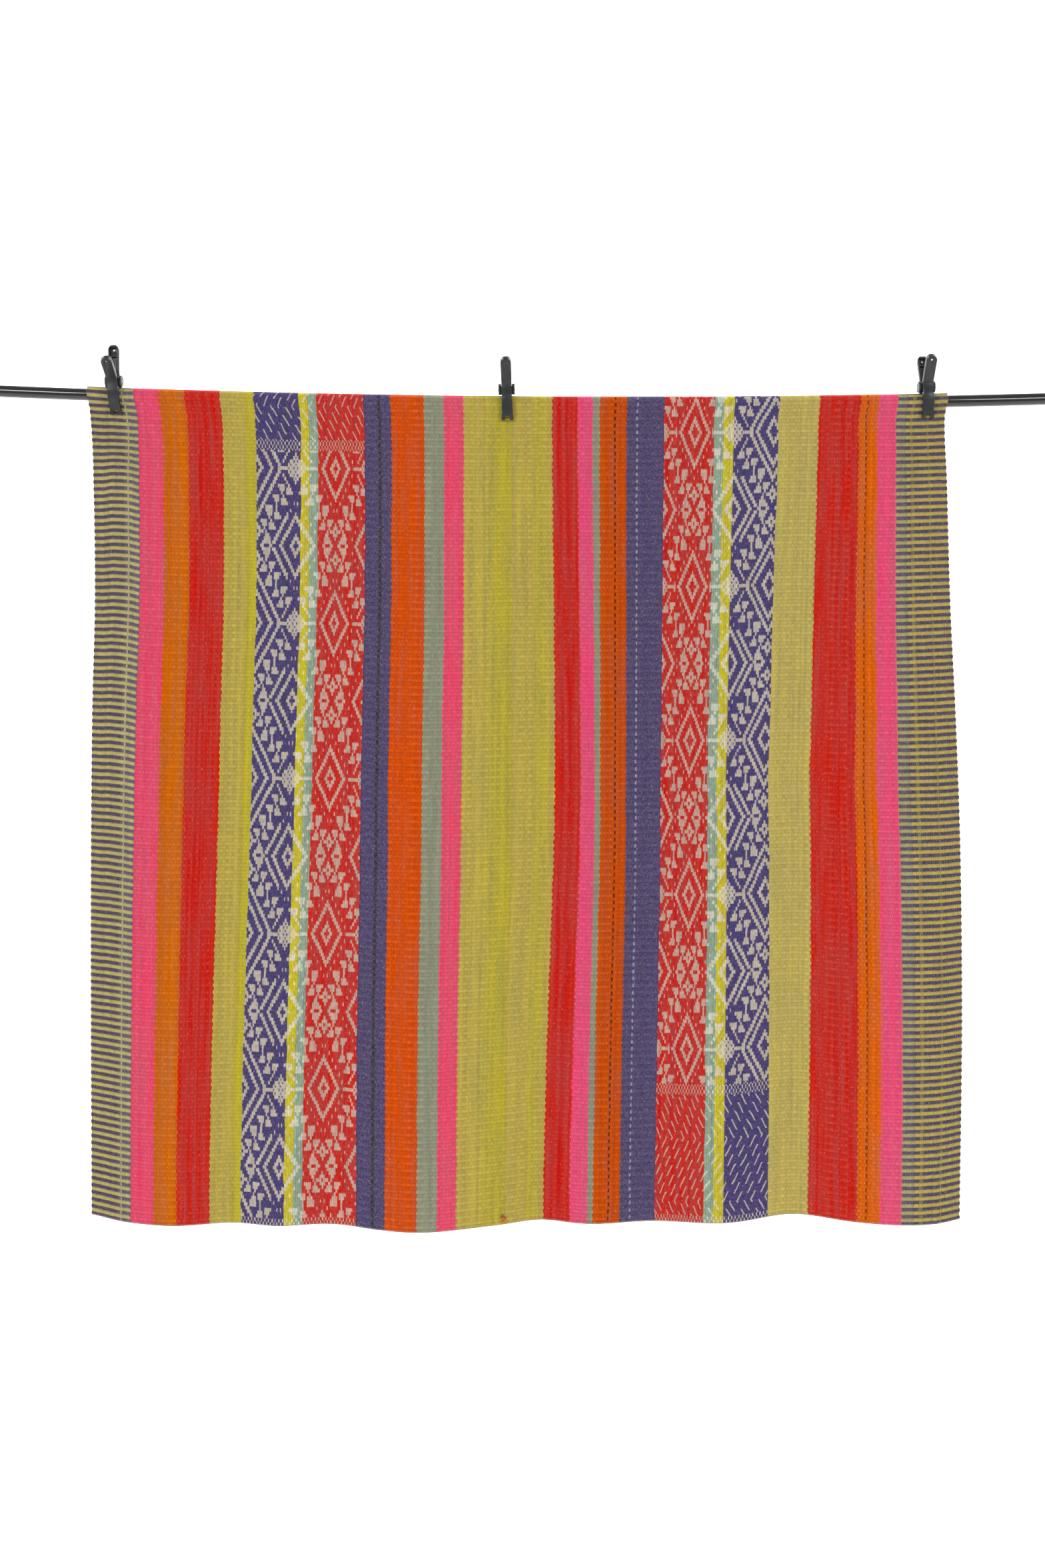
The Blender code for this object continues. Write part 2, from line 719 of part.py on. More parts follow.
def main():
    clear_objects()
    wool_left = make_material("striped wool, left panel", (0.58, 0.20, 0.10), 0.90)
    wool_right = make_material("striped wool, right panel", (0.50, 0.36, 0.10), 0.90)
    black_paint = make_material("black painted steel", (0.010, 0.010, 0.011), 0.22)
    black_nylon = make_material("black moulded nylon", (0.022, 0.022, 0.024), 0.45)
    steel = make_material("bright steel wire", (0.55, 0.55, 0.54), 0.35, 1.0)
    half_gap = SEAM_GAP / 2
    make_panel("panel_left", ((LEFT_EDGE, 0.0), (SEAM, -half_gap)), wool_left)
    make_panel("panel_right", ((SEAM, half_gap), (RIGHT_EDGE, 0.0)), wool_right)
    make_rod(black_paint)
    make_clamps(black_nylon, steel)
    bpy.context.view_layer.update()


main()
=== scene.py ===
"""The looks of a striped woven rug that hangs folded over a rod and is held by three clamps."""

import math

import bmesh
import bpy
import numpy as np
from mathutils import Matrix, Vector


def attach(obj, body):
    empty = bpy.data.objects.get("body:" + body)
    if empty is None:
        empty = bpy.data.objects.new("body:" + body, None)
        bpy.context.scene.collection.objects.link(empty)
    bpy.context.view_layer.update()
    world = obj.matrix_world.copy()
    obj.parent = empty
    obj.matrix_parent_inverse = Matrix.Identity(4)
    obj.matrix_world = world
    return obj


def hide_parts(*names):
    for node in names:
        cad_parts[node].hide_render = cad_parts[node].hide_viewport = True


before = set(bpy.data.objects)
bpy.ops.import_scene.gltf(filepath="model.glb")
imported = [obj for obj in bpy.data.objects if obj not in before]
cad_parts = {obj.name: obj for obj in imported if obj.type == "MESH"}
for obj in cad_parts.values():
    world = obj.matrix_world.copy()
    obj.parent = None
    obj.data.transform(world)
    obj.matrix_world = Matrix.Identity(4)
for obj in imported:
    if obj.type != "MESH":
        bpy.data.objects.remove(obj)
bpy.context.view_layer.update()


# Rod: a drawn steel tube of 19 mm with gloss black enamel, which the rug is folded over. It is
# held outside the rug on both sides, so its middle bows down, and its right end is the lower one.
ROD_LENGTH = 1.80
ROD_RADIUS = 0.0095
ROD_BOW = 0.0171
ROD_TILT = 0.0067
ROD_RINGS = 72
ROD_SIDES = 48
ROD_CHAMFER = 0.0008


def rod_rise(across):
    """Height of the rod's axis above the origin."""
    place = across / (ROD_LENGTH / 2)
    return ROD_BOW * place * place - ROD_TILT * place


def color(code):
    """The linear colour of an sRGB hex value."""
    shades = [int(code[start : start + 2], 16) / 255 for start in (1, 3, 5)]
    return (*(s / 12.92 if s < 0.04045 else ((s + 0.055) / 1.055) ** 2.4 for s in shades), 1.0)


def add_node(tree, kind, inputs=None, **settings):
    """Adds a node with its settings. An input takes a value, a socket, or a node's first output."""
    node = tree.nodes.new(kind)
    for setting, value in settings.items():
        setattr(node, setting, value)
    for socket, value in (inputs or {}).items():
        if isinstance(value, bpy.types.Node):
            value = value.outputs[0]
        if isinstance(value, bpy.types.NodeSocket):
            tree.links.new(value, node.inputs[socket])
        else:
            node.inputs[socket].default_value = value
    return node


def new_material(name, settings):
    """A material whose shader takes these settings, with its node tree and shader."""
    material = bpy.data.materials.new(name)
    material.use_nodes = True
    shader = material.node_tree.nodes["Principled BSDF"]
    for socket, value in settings.items():
        shader.inputs[socket].default_value = value
    return material, material.node_tree, shader


def finish_mesh(name, shell):
    """The mesh of a finished shell, shaded smooth."""
    mesh = bpy.data.meshes.new(name)
    shell.to_mesh(mesh)
    shell.free()
    mesh.shade_smooth()
    return mesh


def add_piece(name, mesh, material):
    """An object at the origin that rides with the part."""
    mesh.materials.clear()
    mesh.materials.append(material)
    piece = bpy.data.objects.new(name, mesh)
    bpy.context.scene.collection.objects.link(piece)
    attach(piece, "root")
    return piece


# Oven-cured enamel on steel: nearly black, with a sharp but slightly rippled shine from the spray,
# and duller where hands and clamps have rubbed it.
enamel, tree, shader = new_material(
    "gloss black enamel on drawn steel tube",
    {
        "Base Color": color("#060709"), "Roughness": 0.12, "IOR": 1.5, "Specular IOR Level": 0.3,
        "Coat Weight": 1.0, "Coat Roughness": 0.04,
    },
)
place = add_node(tree, "ShaderNodeTexCoord").outputs["Object"]
rubbed = add_node(tree, "ShaderNodeMapping", {"Vector": place, "Scale": (9.0, 160.0, 160.0)})
rubbing = add_node(tree, "ShaderNodeTexNoise", {"Vector": rubbed, "Scale": 1.0, "Detail": 5.0})
dullness = add_node(
    tree, "ShaderNodeMapRange", {"Value": rubbing, "From Min": 0.4, "From Max": 0.75,
                                 "To Min": 0.1, "To Max": 0.22},
)
tree.links.new(dullness.outputs[0], shader.inputs["Roughness"])
ripple = add_node(tree, "ShaderNodeTexNoise", {"Vector": place, "Scale": 420.0, "Detail": 2.0})
ripples = add_node(
    tree, "ShaderNodeBump", {"Height": ripple, "Strength": 0.25, "Distance": 0.00004}
)
tree.links.new(ripples.outputs[0], shader.inputs["Normal"])

shell = bmesh.new()
upright = Matrix.Rotation(math.pi / 2, 4, "Y")
rings = []
for index in range(ROD_RINGS + 1):
    across = ROD_LENGTH * (index / ROD_RINGS - 0.5)
    stand = Matrix.Translation((across, 0.0, rod_rise(across))) @ upright
    circle = bmesh.ops.create_circle(shell, segments=ROD_SIDES, radius=ROD_RADIUS, matrix=stand)
    edges = list({edge for vert in circle["verts"] for edge in vert.link_edges})
    if rings:
        bmesh.ops.bridge_loops(shell, edges=[*rings[-1], *edges])
    rings.append(edges)
for ring in (rings[0], rings[-1]):
    bmesh.ops.contextual_create(shell, geom=ring)
bmesh.ops.recalc_face_normals(shell, faces=shell.faces)
bmesh.ops.bevel(
    shell, geom=[*rings[0], *rings[-1]], offset=ROD_CHAMFER, offset_type="OFFSET", segments=2,
    profile=0.5, affect="EDGES", material=-1,
)
mesh = finish_mesh("rod_tube", shell)
mesh.set_sharp_from_angle(angle=math.radians(50))
rod_tube = add_piece("rod_tube", mesh, enamel)
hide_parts("rod")


# Panels: two loom widths of thick warp-faced wool, woven in upright stripes with bands of diamond
# pattern. The rug is folded over the rod with a short flap behind it, and hangs in soft folds.
CLOTH_THICK = 0.0021
RIB_HEIGHT = 0.00034
BACK_FLAP = 0.075
DRAPE_RADIUS = 0.0115
SETTLED_DROP = 0.150
FREE_RUN = 0.4
PUSHED_RUN = 1.0
FULL_DROP = 1.29
SEAM_GAP = 0.0003
JAW_WRAP = math.radians(15)
DENT_HALF_WIDTH = 0.034
FLAP_STEPS = 15
WRAP_STEPS = 32
SETTLE_STEPS = 32
SETTLE_EASE = 1.5
FALL_STEPS = 80

SIDE_LINES = (
    # drop, left edge, seam, right edge
    (0.000, -0.6900, -0.0175, 0.6735),
    (0.030, -0.6840, -0.0175, 0.6685),
    (0.120, -0.6790, -0.0175, 0.6710),
    (0.320, -0.6762, -0.0165, 0.6765),
    (0.500, -0.6805, -0.0168, 0.6850),
    (0.720, -0.6826, -0.0185, 0.6925),
    (1.000, -0.6830, -0.0255, 0.6955),
    (1.290, -0.6820, -0.0290, 0.6920),
)
LEFT_EDGE, SEAM, RIGHT_EDGE = 1, 2, 3

HEM_LINE = (
    # across, drop
    (-0.690, 1.285),
    (-0.628, 1.297),
    (-0.548, 1.301),
    (-0.446, 1.298),
    (-0.373, 1.302),
    (-0.295, 1.299),
    (-0.217, 1.307),
    (-0.142, 1.310),
    (-0.030, 1.302),
    (0.043, 1.295),
    (0.107, 1.300),
    (0.212, 1.296),
    (0.335, 1.297),
    (0.444, 1.286),
    (0.534, 1.296),
    (0.640, 1.299),
    (0.692, 1.288),
)

FOLDS = (
    # across, half width, depth towards the front, starting drop
    (-0.640, 0.070, -0.005, 0.35),
    (-0.545, 0.075, 0.010, 0.20),
    (-0.445, 0.055, -0.006, 0.40),
    (-0.365, 0.060, 0.008, 0.45),
    (-0.290, 0.045, -0.004, 0.60),
    (-0.170, 0.095, 0.016, 0.15),
    (0.045, 0.075, -0.010, 0.25),
    (0.115, 0.050, 0.005, 0.70),
    (0.215, 0.060, -0.005, 0.50),
    (0.335, 0.070, 0.009, 0.30),
    (0.445, 0.065, -0.012, 0.20),
    (0.590, 0.085, 0.012, 0.25),
    (0.700, 0.045, -0.007, 0.60),
)

GRIPS = (
    # across, roll of the clamp, push of its front jaw
    (-0.6465, math.radians(27), 1.0),
    (-0.0245, math.radians(10), 0.5),
    (0.6415, math.radians(10), 0.5),
)


def hermite(start, end, start_slope, end_slope, t):
    """A smooth step from start to end, with the given slopes at its two ends."""
    from_start = 2 * t**3 - 3 * t**2 + 1
    slopes = (t**3 - 2 * t**2 + t) * start_slope + (t**3 - t**2) * end_slope
    return from_start * start + (1 - from_start) * end + slopes


def read_table(rows, column, place):
    """The column's value at a place along the first column, on a smooth curve through the rows."""
    if place <= rows[0][0]:
        return rows[0][column]
    if place >= rows[-1][0]:
        return rows[-1][column]
    index = max(i for i, row in enumerate(rows) if row[0] <= place)
    before, start = rows[max(index - 1, 0)], rows[index]
    end, after = rows[index + 1], rows[min(index + 2, len(rows) - 1)]
    span = end[0] - start[0]
    start_slope = (end[column] - before[column]) / (end[0] - before[0]) * span
    end_slope = (after[column] - start[column]) / (after[0] - start[0]) * span
    return hermite(start[column], end[column], start_slope, end_slope, (place - start[0]) / span)


def fold_depth(across, drop):
    """How far the hanging cloth stands to the front of its plane."""
    depth = 0.0
    for middle, width, fold, start in FOLDS:
        grown = min(max((drop - start) / (FULL_DROP - start), 0.0), 1.0)
        near = math.exp(-(((across - middle) / width) ** 2))
        depth += fold * near * grown * grown * (3 - 2 * grown)
    return depth


def warp_path(top_across, across_at):
    """The middle of the cloth along one warp, from the back hem over the rod to the front hem."""
    front_wrap = back_wrap = push = 0.0
    for middle, roll, jaw_push in GRIPS:
        near = math.exp(-(((top_across - middle) / DENT_HALF_WIDTH) ** 4))
        front_wrap += near * (JAW_WRAP + roll)
        back_wrap += near * max(JAW_WRAP - roll, 0.0)
        push += near * jaw_push
    rise = rod_rise(top_across)
    hem_drop = read_table(HEM_LINE, 1, top_across)
    places = []
    first, last = -math.pi / 2 - back_wrap, math.pi / 2 + front_wrap
    leave_y, leave_z = -DRAPE_RADIUS * math.sin(first), DRAPE_RADIUS * math.cos(first)
    speed = BACK_FLAP / 2
    for t in np.linspace(1.0, 0.0, FLAP_STEPS + 1)[:-1]:
        y = hermite(leave_y, DRAPE_RADIUS, -speed * math.sin(back_wrap), 0.0, t)
        z = hermite(leave_z, -BACK_FLAP, -speed * math.cos(back_wrap), -BACK_FLAP, t)
        places.append((across_at(-z), y, z + rise))
    for angle in np.linspace(first, last, WRAP_STEPS + 1):
        z = DRAPE_RADIUS * math.cos(angle)
        places.append((across_at(-z), -DRAPE_RADIUS * math.sin(angle), z + rise))
    leave_y, leave_z = -DRAPE_RADIUS * math.sin(last), DRAPE_RADIUS * math.cos(last)
    speed = SETTLED_DROP * (FREE_RUN + (PUSHED_RUN - FREE_RUN) * push)
    for t in np.linspace(0.0, 1.0, SETTLE_STEPS + 1)[1:] ** SETTLE_EASE:
        y = hermite(leave_y, -DRAPE_RADIUS, speed * math.sin(front_wrap), 0.0, t)
        z = hermite(leave_z, -SETTLED_DROP, -speed * math.cos(front_wrap), -SETTLED_DROP, t)
        places.append((across_at(-z), y, z + rise))
    for t in np.linspace(0.0, 1.0, FALL_STEPS + 1)[1:]:
        drop = SETTLED_DROP + (hem_drop - SETTLED_DROP) * t
        x = across_at(drop)
        places.append((x, -DRAPE_RADIUS - fold_depth(x, drop), rise * (1 - t) - drop))
    return np.array(places)


# The weave: wefts 5.56 mm apart that don't show, floats of two warps 2.5 mm wide that do, and in
# the pattern bands pairs of a dyed and a cream warp, which are thinnest in the red.
WEFTS = 254
ROWS_PER_WEFT = 4
FLOAT_MM = 2.5
PAIR_MM = 2.39
COLUMN_MM = 15.5
WIDTH_DROPS = (0.056, 0.603, 1.222)
SELVEDGE_BULGE = 0.0011
SEAM_WAVE = 0.00025
SEAM_PULL = 0.00013
BAKE_WIDTH = 0.49
BAKE_BACK_START = 0.505

ROW_WAVES = (
    # rise in wefts, then mm across and wefts along for each radian of the wave
    (0.08, 52, 23),
    (0.03, 21, -11),
)

LEFT_STRIPES = (
    # stripe, width in mm near the rod, halfway and near the hem, dyes of the two sets of warps,
    # share of undyed fibres spun in, width in mm of a pair of warps
    ("edge band", 72, 67, 61, "#B6A75E", "#413856", 0.12, 2.39),
    ("pink", 38, 39, 37, "#E44E6C", "#E04A68", 0.02, 2.39),
    ("amber", 42, 39, 38, "#CE6A14", "#C86310", 0.004, 2.39),
    ("red", 56, 57, 52, "#C82A20", "#C2271E", 0.02, 2.39),
    ("yellow-green", 51, 49, 47, "#BAA74A", "#B5A146", 0.04, 2.39),
    ("pattern purple", 70, 68, 69, "#3A306A", "#B4AA9E", 0.09, 2.8),
    ("pattern yellow", 15, 15, 16, "#BEB02C", "#CDC4A2", 0.02, 3.6),
    ("pattern mint", 14, 13, 14, "#879C88", "#BFC2B0", 0.03, 3.6),
    ("pattern red", 76, 80, 88, "#BE2C26", "#C29C8E", 0.015, 2.39),
    ("purple", 41, 42, 45, "#463A6C", "#3A2F5E", 0.13, 2.39),
    ("orange", 52, 53, 50, "#D5500A", "#CE4B08", 0.004, 2.39),
    ("sage", 32, 32, 33, "#90937A", "#878B72", 0.05, 2.39),
    ("pink", 30, 30, 29, "#E44E6C", "#E04A68", 0.02, 2.39),
    ("yellow-green", 77, 81, 78, "#BAA74A", "#B5A146", 0.04, 2.39),
)

RIGHT_STRIPES = (
    # stripe, width in mm near the rod, halfway and near the hem, dyes of the two sets of warps,
    # share of undyed fibres spun in, width in mm of a pair of warps
    ("yellow-green", 64, 68, 61, "#BAA74A", "#B5A146", 0.04, 2.39),
    ("red", 38, 39, 39, "#C82A20", "#C2271E", 0.02, 2.39),
    ("pink", 24, 23, 29, "#E65078", "#E24C74", 0.02, 2.39),
    ("sage", 11, 8, 8, "#90937A", "#878B72", 0.05, 2.39),
    ("orange", 43, 41, 43, "#C84F08", "#C04A06", 0.004, 2.39),
    ("purple", 61, 56, 57, "#463A6C", "#3A2F5E", 0.13, 2.39),
    ("pattern red", 78, 72, 75, "#BE2C26", "#C29C8E", 0.015, 2.39),
    ("pattern mint", 15, 16, 15, "#879C88", "#BFC2B0", 0.03, 3.6),
    ("pattern yellow", 15, 13, 15, "#BEB02C", "#CDC4A2", 0.02, 3.6),
    ("pattern purple", 73, 69, 73, "#3A306A", "#B4AA9E", 0.09, 2.8),
    ("yellow-green", 63, 66, 65, "#BDAC5A", "#B8A656", 0.04, 2.39),
    ("red", 63, 70, 74, "#C82A20", "#C2271E", 0.02, 2.39),
    ("amber", 29, 33, 34, "#DA6412", "#D25C0E", 0.004, 2.39),
    ("pink", 31, 36, 36, "#E65078", "#E24C74", 0.02, 2.39),
    ("edge band", 78, 96, 95, "#B4A048", "#413856", 0.12, 2.39),
)

LEFT_ACCENTS = (
    # start in mm, width in mm, dyes of the two sets of warps
    (48.0, 23.5, "#B5A868", "#575368"),
    (52.5, 2.5, "#B5A868", "#A39A74"),
    (246.0, 13.0, "#BCAE2C", "#B7A92A"),
    (455.0, 5.0, "#19151F", "#2E2640"),
    (462.0, 9.0, "#42376A", "#3C3160"),
    (622.0, 44.0, "#B9AA44", "#B3A442"),
    (636.0, 30.0, "#B9AA36", "#B3A436"),
    (647.0, 15.0, "#B9AB34", "#B3A534"),
)

RIGHT_ACCENTS = (
    # start in mm, width in mm, dyes of the two sets of warps
    (34.0, 18.0, "#BAAA3C", "#B4A43A"),
    (161.6, 2.5, "#4A2A18", "#C8500A"),
    (183.0, 7.0, "#463C68", "#3A305C"),
    (196.0, 2.5, "#8E8AA0", "#3A305C"),
    (204.0, 8.0, "#42386A", "#3A305C"),
    (559.0, 2.5, "#7A3A12", "#C45E12"),
    (608.0, 14.5, "#A3975F", "#4E4760"),
    (630.0, 2.5, "#B8A53A", "#6E6458"),
    (657.5, 2.5, "#B8A53A", "#6E6458"),
)


def pairs_at(stripes, place_mm):
    """How many pairs of warps lie before a place."""
    starts = np.cumsum([0.0] + [stripe[1] for stripe in stripes])
    counts = np.cumsum([0.0] + [stripe[1] / stripe[7] for stripe in stripes])
    return np.interp(place_mm, starts, counts)


def stripe_columns(stripes):
    """Rows of (place in mm, shares of the width at the three drops) for the columns of a panel."""
    widths = np.array([stripe[1:4] for stripe in stripes], float)
    starts = np.vstack([np.zeros(3), np.cumsum(widths, axis=0)])
    columns = [starts[0]]
    for start, end in zip(starts[:-1], starts[1:]):
        parts = max(1, round((end[0] - start[0]) / COLUMN_MM))
        columns += [start + (end - start) * part / parts for part in range(1, parts + 1)]
    columns = np.array(columns)
    return columns[:, 0], columns / starts[-1]


def along_path(path, share):
    """Places at shares of a path's length."""
    steps = np.linalg.norm(np.diff(path, axis=0), axis=1)
    run = np.concatenate([[0.0], np.cumsum(steps)])
    return np.stack([np.interp(share * run[-1], run, path[:, axis]) for axis in range(3)], axis=1)


def drape_panel(stripes, left, right):
    """The middle of the cloth and its outward direction, on a grid of columns and rows."""
    places_mm, shares = stripe_columns(stripes)
    rows = np.arange(WEFTS * ROWS_PER_WEFT + 1)
    wefts = rows / ROWS_PER_WEFT
    calm = np.sin(np.pi * wefts / WEFTS) ** 0.5
    grid = []
    for place_mm, share in zip(places_mm, shares):
        def across_at(drop):
            left_x = read_table(SIDE_LINES, left[0], drop) + left[1]
            right_x = read_table(SIDE_LINES, right[0], drop) + right[1]
            return left_x + (right_x - left_x) * np.interp(drop, WIDTH_DROPS, share)

        path = warp_path(across_at(0.0), across_at)
        wave = sum(rise * np.sin(place_mm / wide + wefts / long) for rise, wide, long in ROW_WAVES)
        grid.append(along_path(path, (wefts + wave * calm) / WEFTS))
    middle = np.array(grid)
    column_way = np.gradient(middle, axis=0)
    row_way = np.gradient(middle, axis=1)
    outward = -np.cross(column_way, row_way)
    outward /= np.linalg.norm(outward, axis=2, keepdims=True)
    return places_mm, middle, outward


def make_panel(name, stripes, left, right, material):
    """A closed sheet, made flat as it comes off the loom and then laid over the rod."""
    places_mm, middle, outward = drape_panel(stripes, left, right)
    columns, rows = middle.shape[0] - 1, middle.shape[1] - 1
    shell = bmesh.new()
    for side in (0.5, -0.5):
        face_side = bmesh.ops.create_grid(shell, x_segments=columns, y_segments=rows, size=0.5)
        bmesh.ops.translate(shell, verts=face_side["verts"], vec=(0.0, 0.0, side))
    rim = [edge for edge in shell.edges if edge.is_boundary]
    bmesh.ops.bridge_loops(shell, edges=rim)
    bmesh.ops.recalc_face_normals(shell, faces=shell.faces)
    mesh = finish_mesh(name, shell)
    flat = np.zeros(len(mesh.vertices) * 3, np.float32)
    mesh.vertices.foreach_get("co", flat)
    flat = flat.reshape(-1, 3)
    column = np.rint((flat[:, 0] + 0.5) * columns).astype(int)
    row = np.rint((flat[:, 1] + 0.5) * rows).astype(int)
    outer = flat[:, 2] < 0
    weft = row / ROWS_PER_WEFT
    lift = CLOTH_THICK / 2 - RIB_HEIGHT * np.cos(2 * np.pi * weft)
    draped = middle[column, row] + outward[column, row] * (lift * np.where(outer, 1, -1))[:, None]
    # each outer selvedge bulges where the weft turns back round the outermost warps, and at the
    # seam the two selvedges are drawn together and follow each other
    turn = SELVEDGE_BULGE * np.sin(np.pi * (weft - 0.5) / 2) ** 2
    drawn = SEAM_WAVE * np.sin(np.pi * weft / 2)
    for place, way, line in ((0, -1, left[0]), (columns, 1, right[0])):
        if line == SEAM:
            draped[:, 0] += np.where(column == place, drawn + SEAM_PULL * way, 0)
        else:
            draped[:, 0] += np.where(column == place, turn * way, 0)
    mesh.vertices.foreach_set("co", draped.astype(np.float32).ravel())
    mesh.update()
    corner = np.zeros(len(mesh.loops), int)
    mesh.loops.foreach_get("vertex_index", corner)
    thread = np.stack([places_mm[column], weft], axis=1)[corner]
    mesh.uv_layers.new(name="Thread").data.foreach_set("uv", thread.astype(np.float32).ravel())
    # the second map lays the front in one half of a square and the back in the other
    rim_corner = np.zeros(len(mesh.loops), bool)
    for face in mesh.polygons:
        inside = [outer[vert] for vert in face.vertices]
        if any(inside) and not all(inside):
            rim_corner[face.loop_start : face.loop_start + face.loop_total] = True
    on_front = outer[corner] | rim_corner
    across_share = places_mm[column[corner]] / places_mm[-1]
    bake_across = BAKE_WIDTH * across_share + np.where(on_front, 0.0, BAKE_BACK_START)
    baked = np.stack([bake_across, row[corner] / rows], axis=1)
    mesh.uv_layers.new(name="OFBake").data.foreach_set("uv", baked.astype(np.float32).ravel())
    pairs = mesh.attributes.new("Pairs", "FLOAT", "POINT")
    pairs.data.foreach_set("value", pairs_at(stripes, places_mm[column]).astype(np.float32))
    back = mesh.attributes.new("Back", "FLOAT", "POINT")
    back.data.foreach_set("value", (~outer).astype(np.float32))
    mesh.set_sharp_from_angle(angle=math.radians(60))
    return add_piece(name, mesh, material)


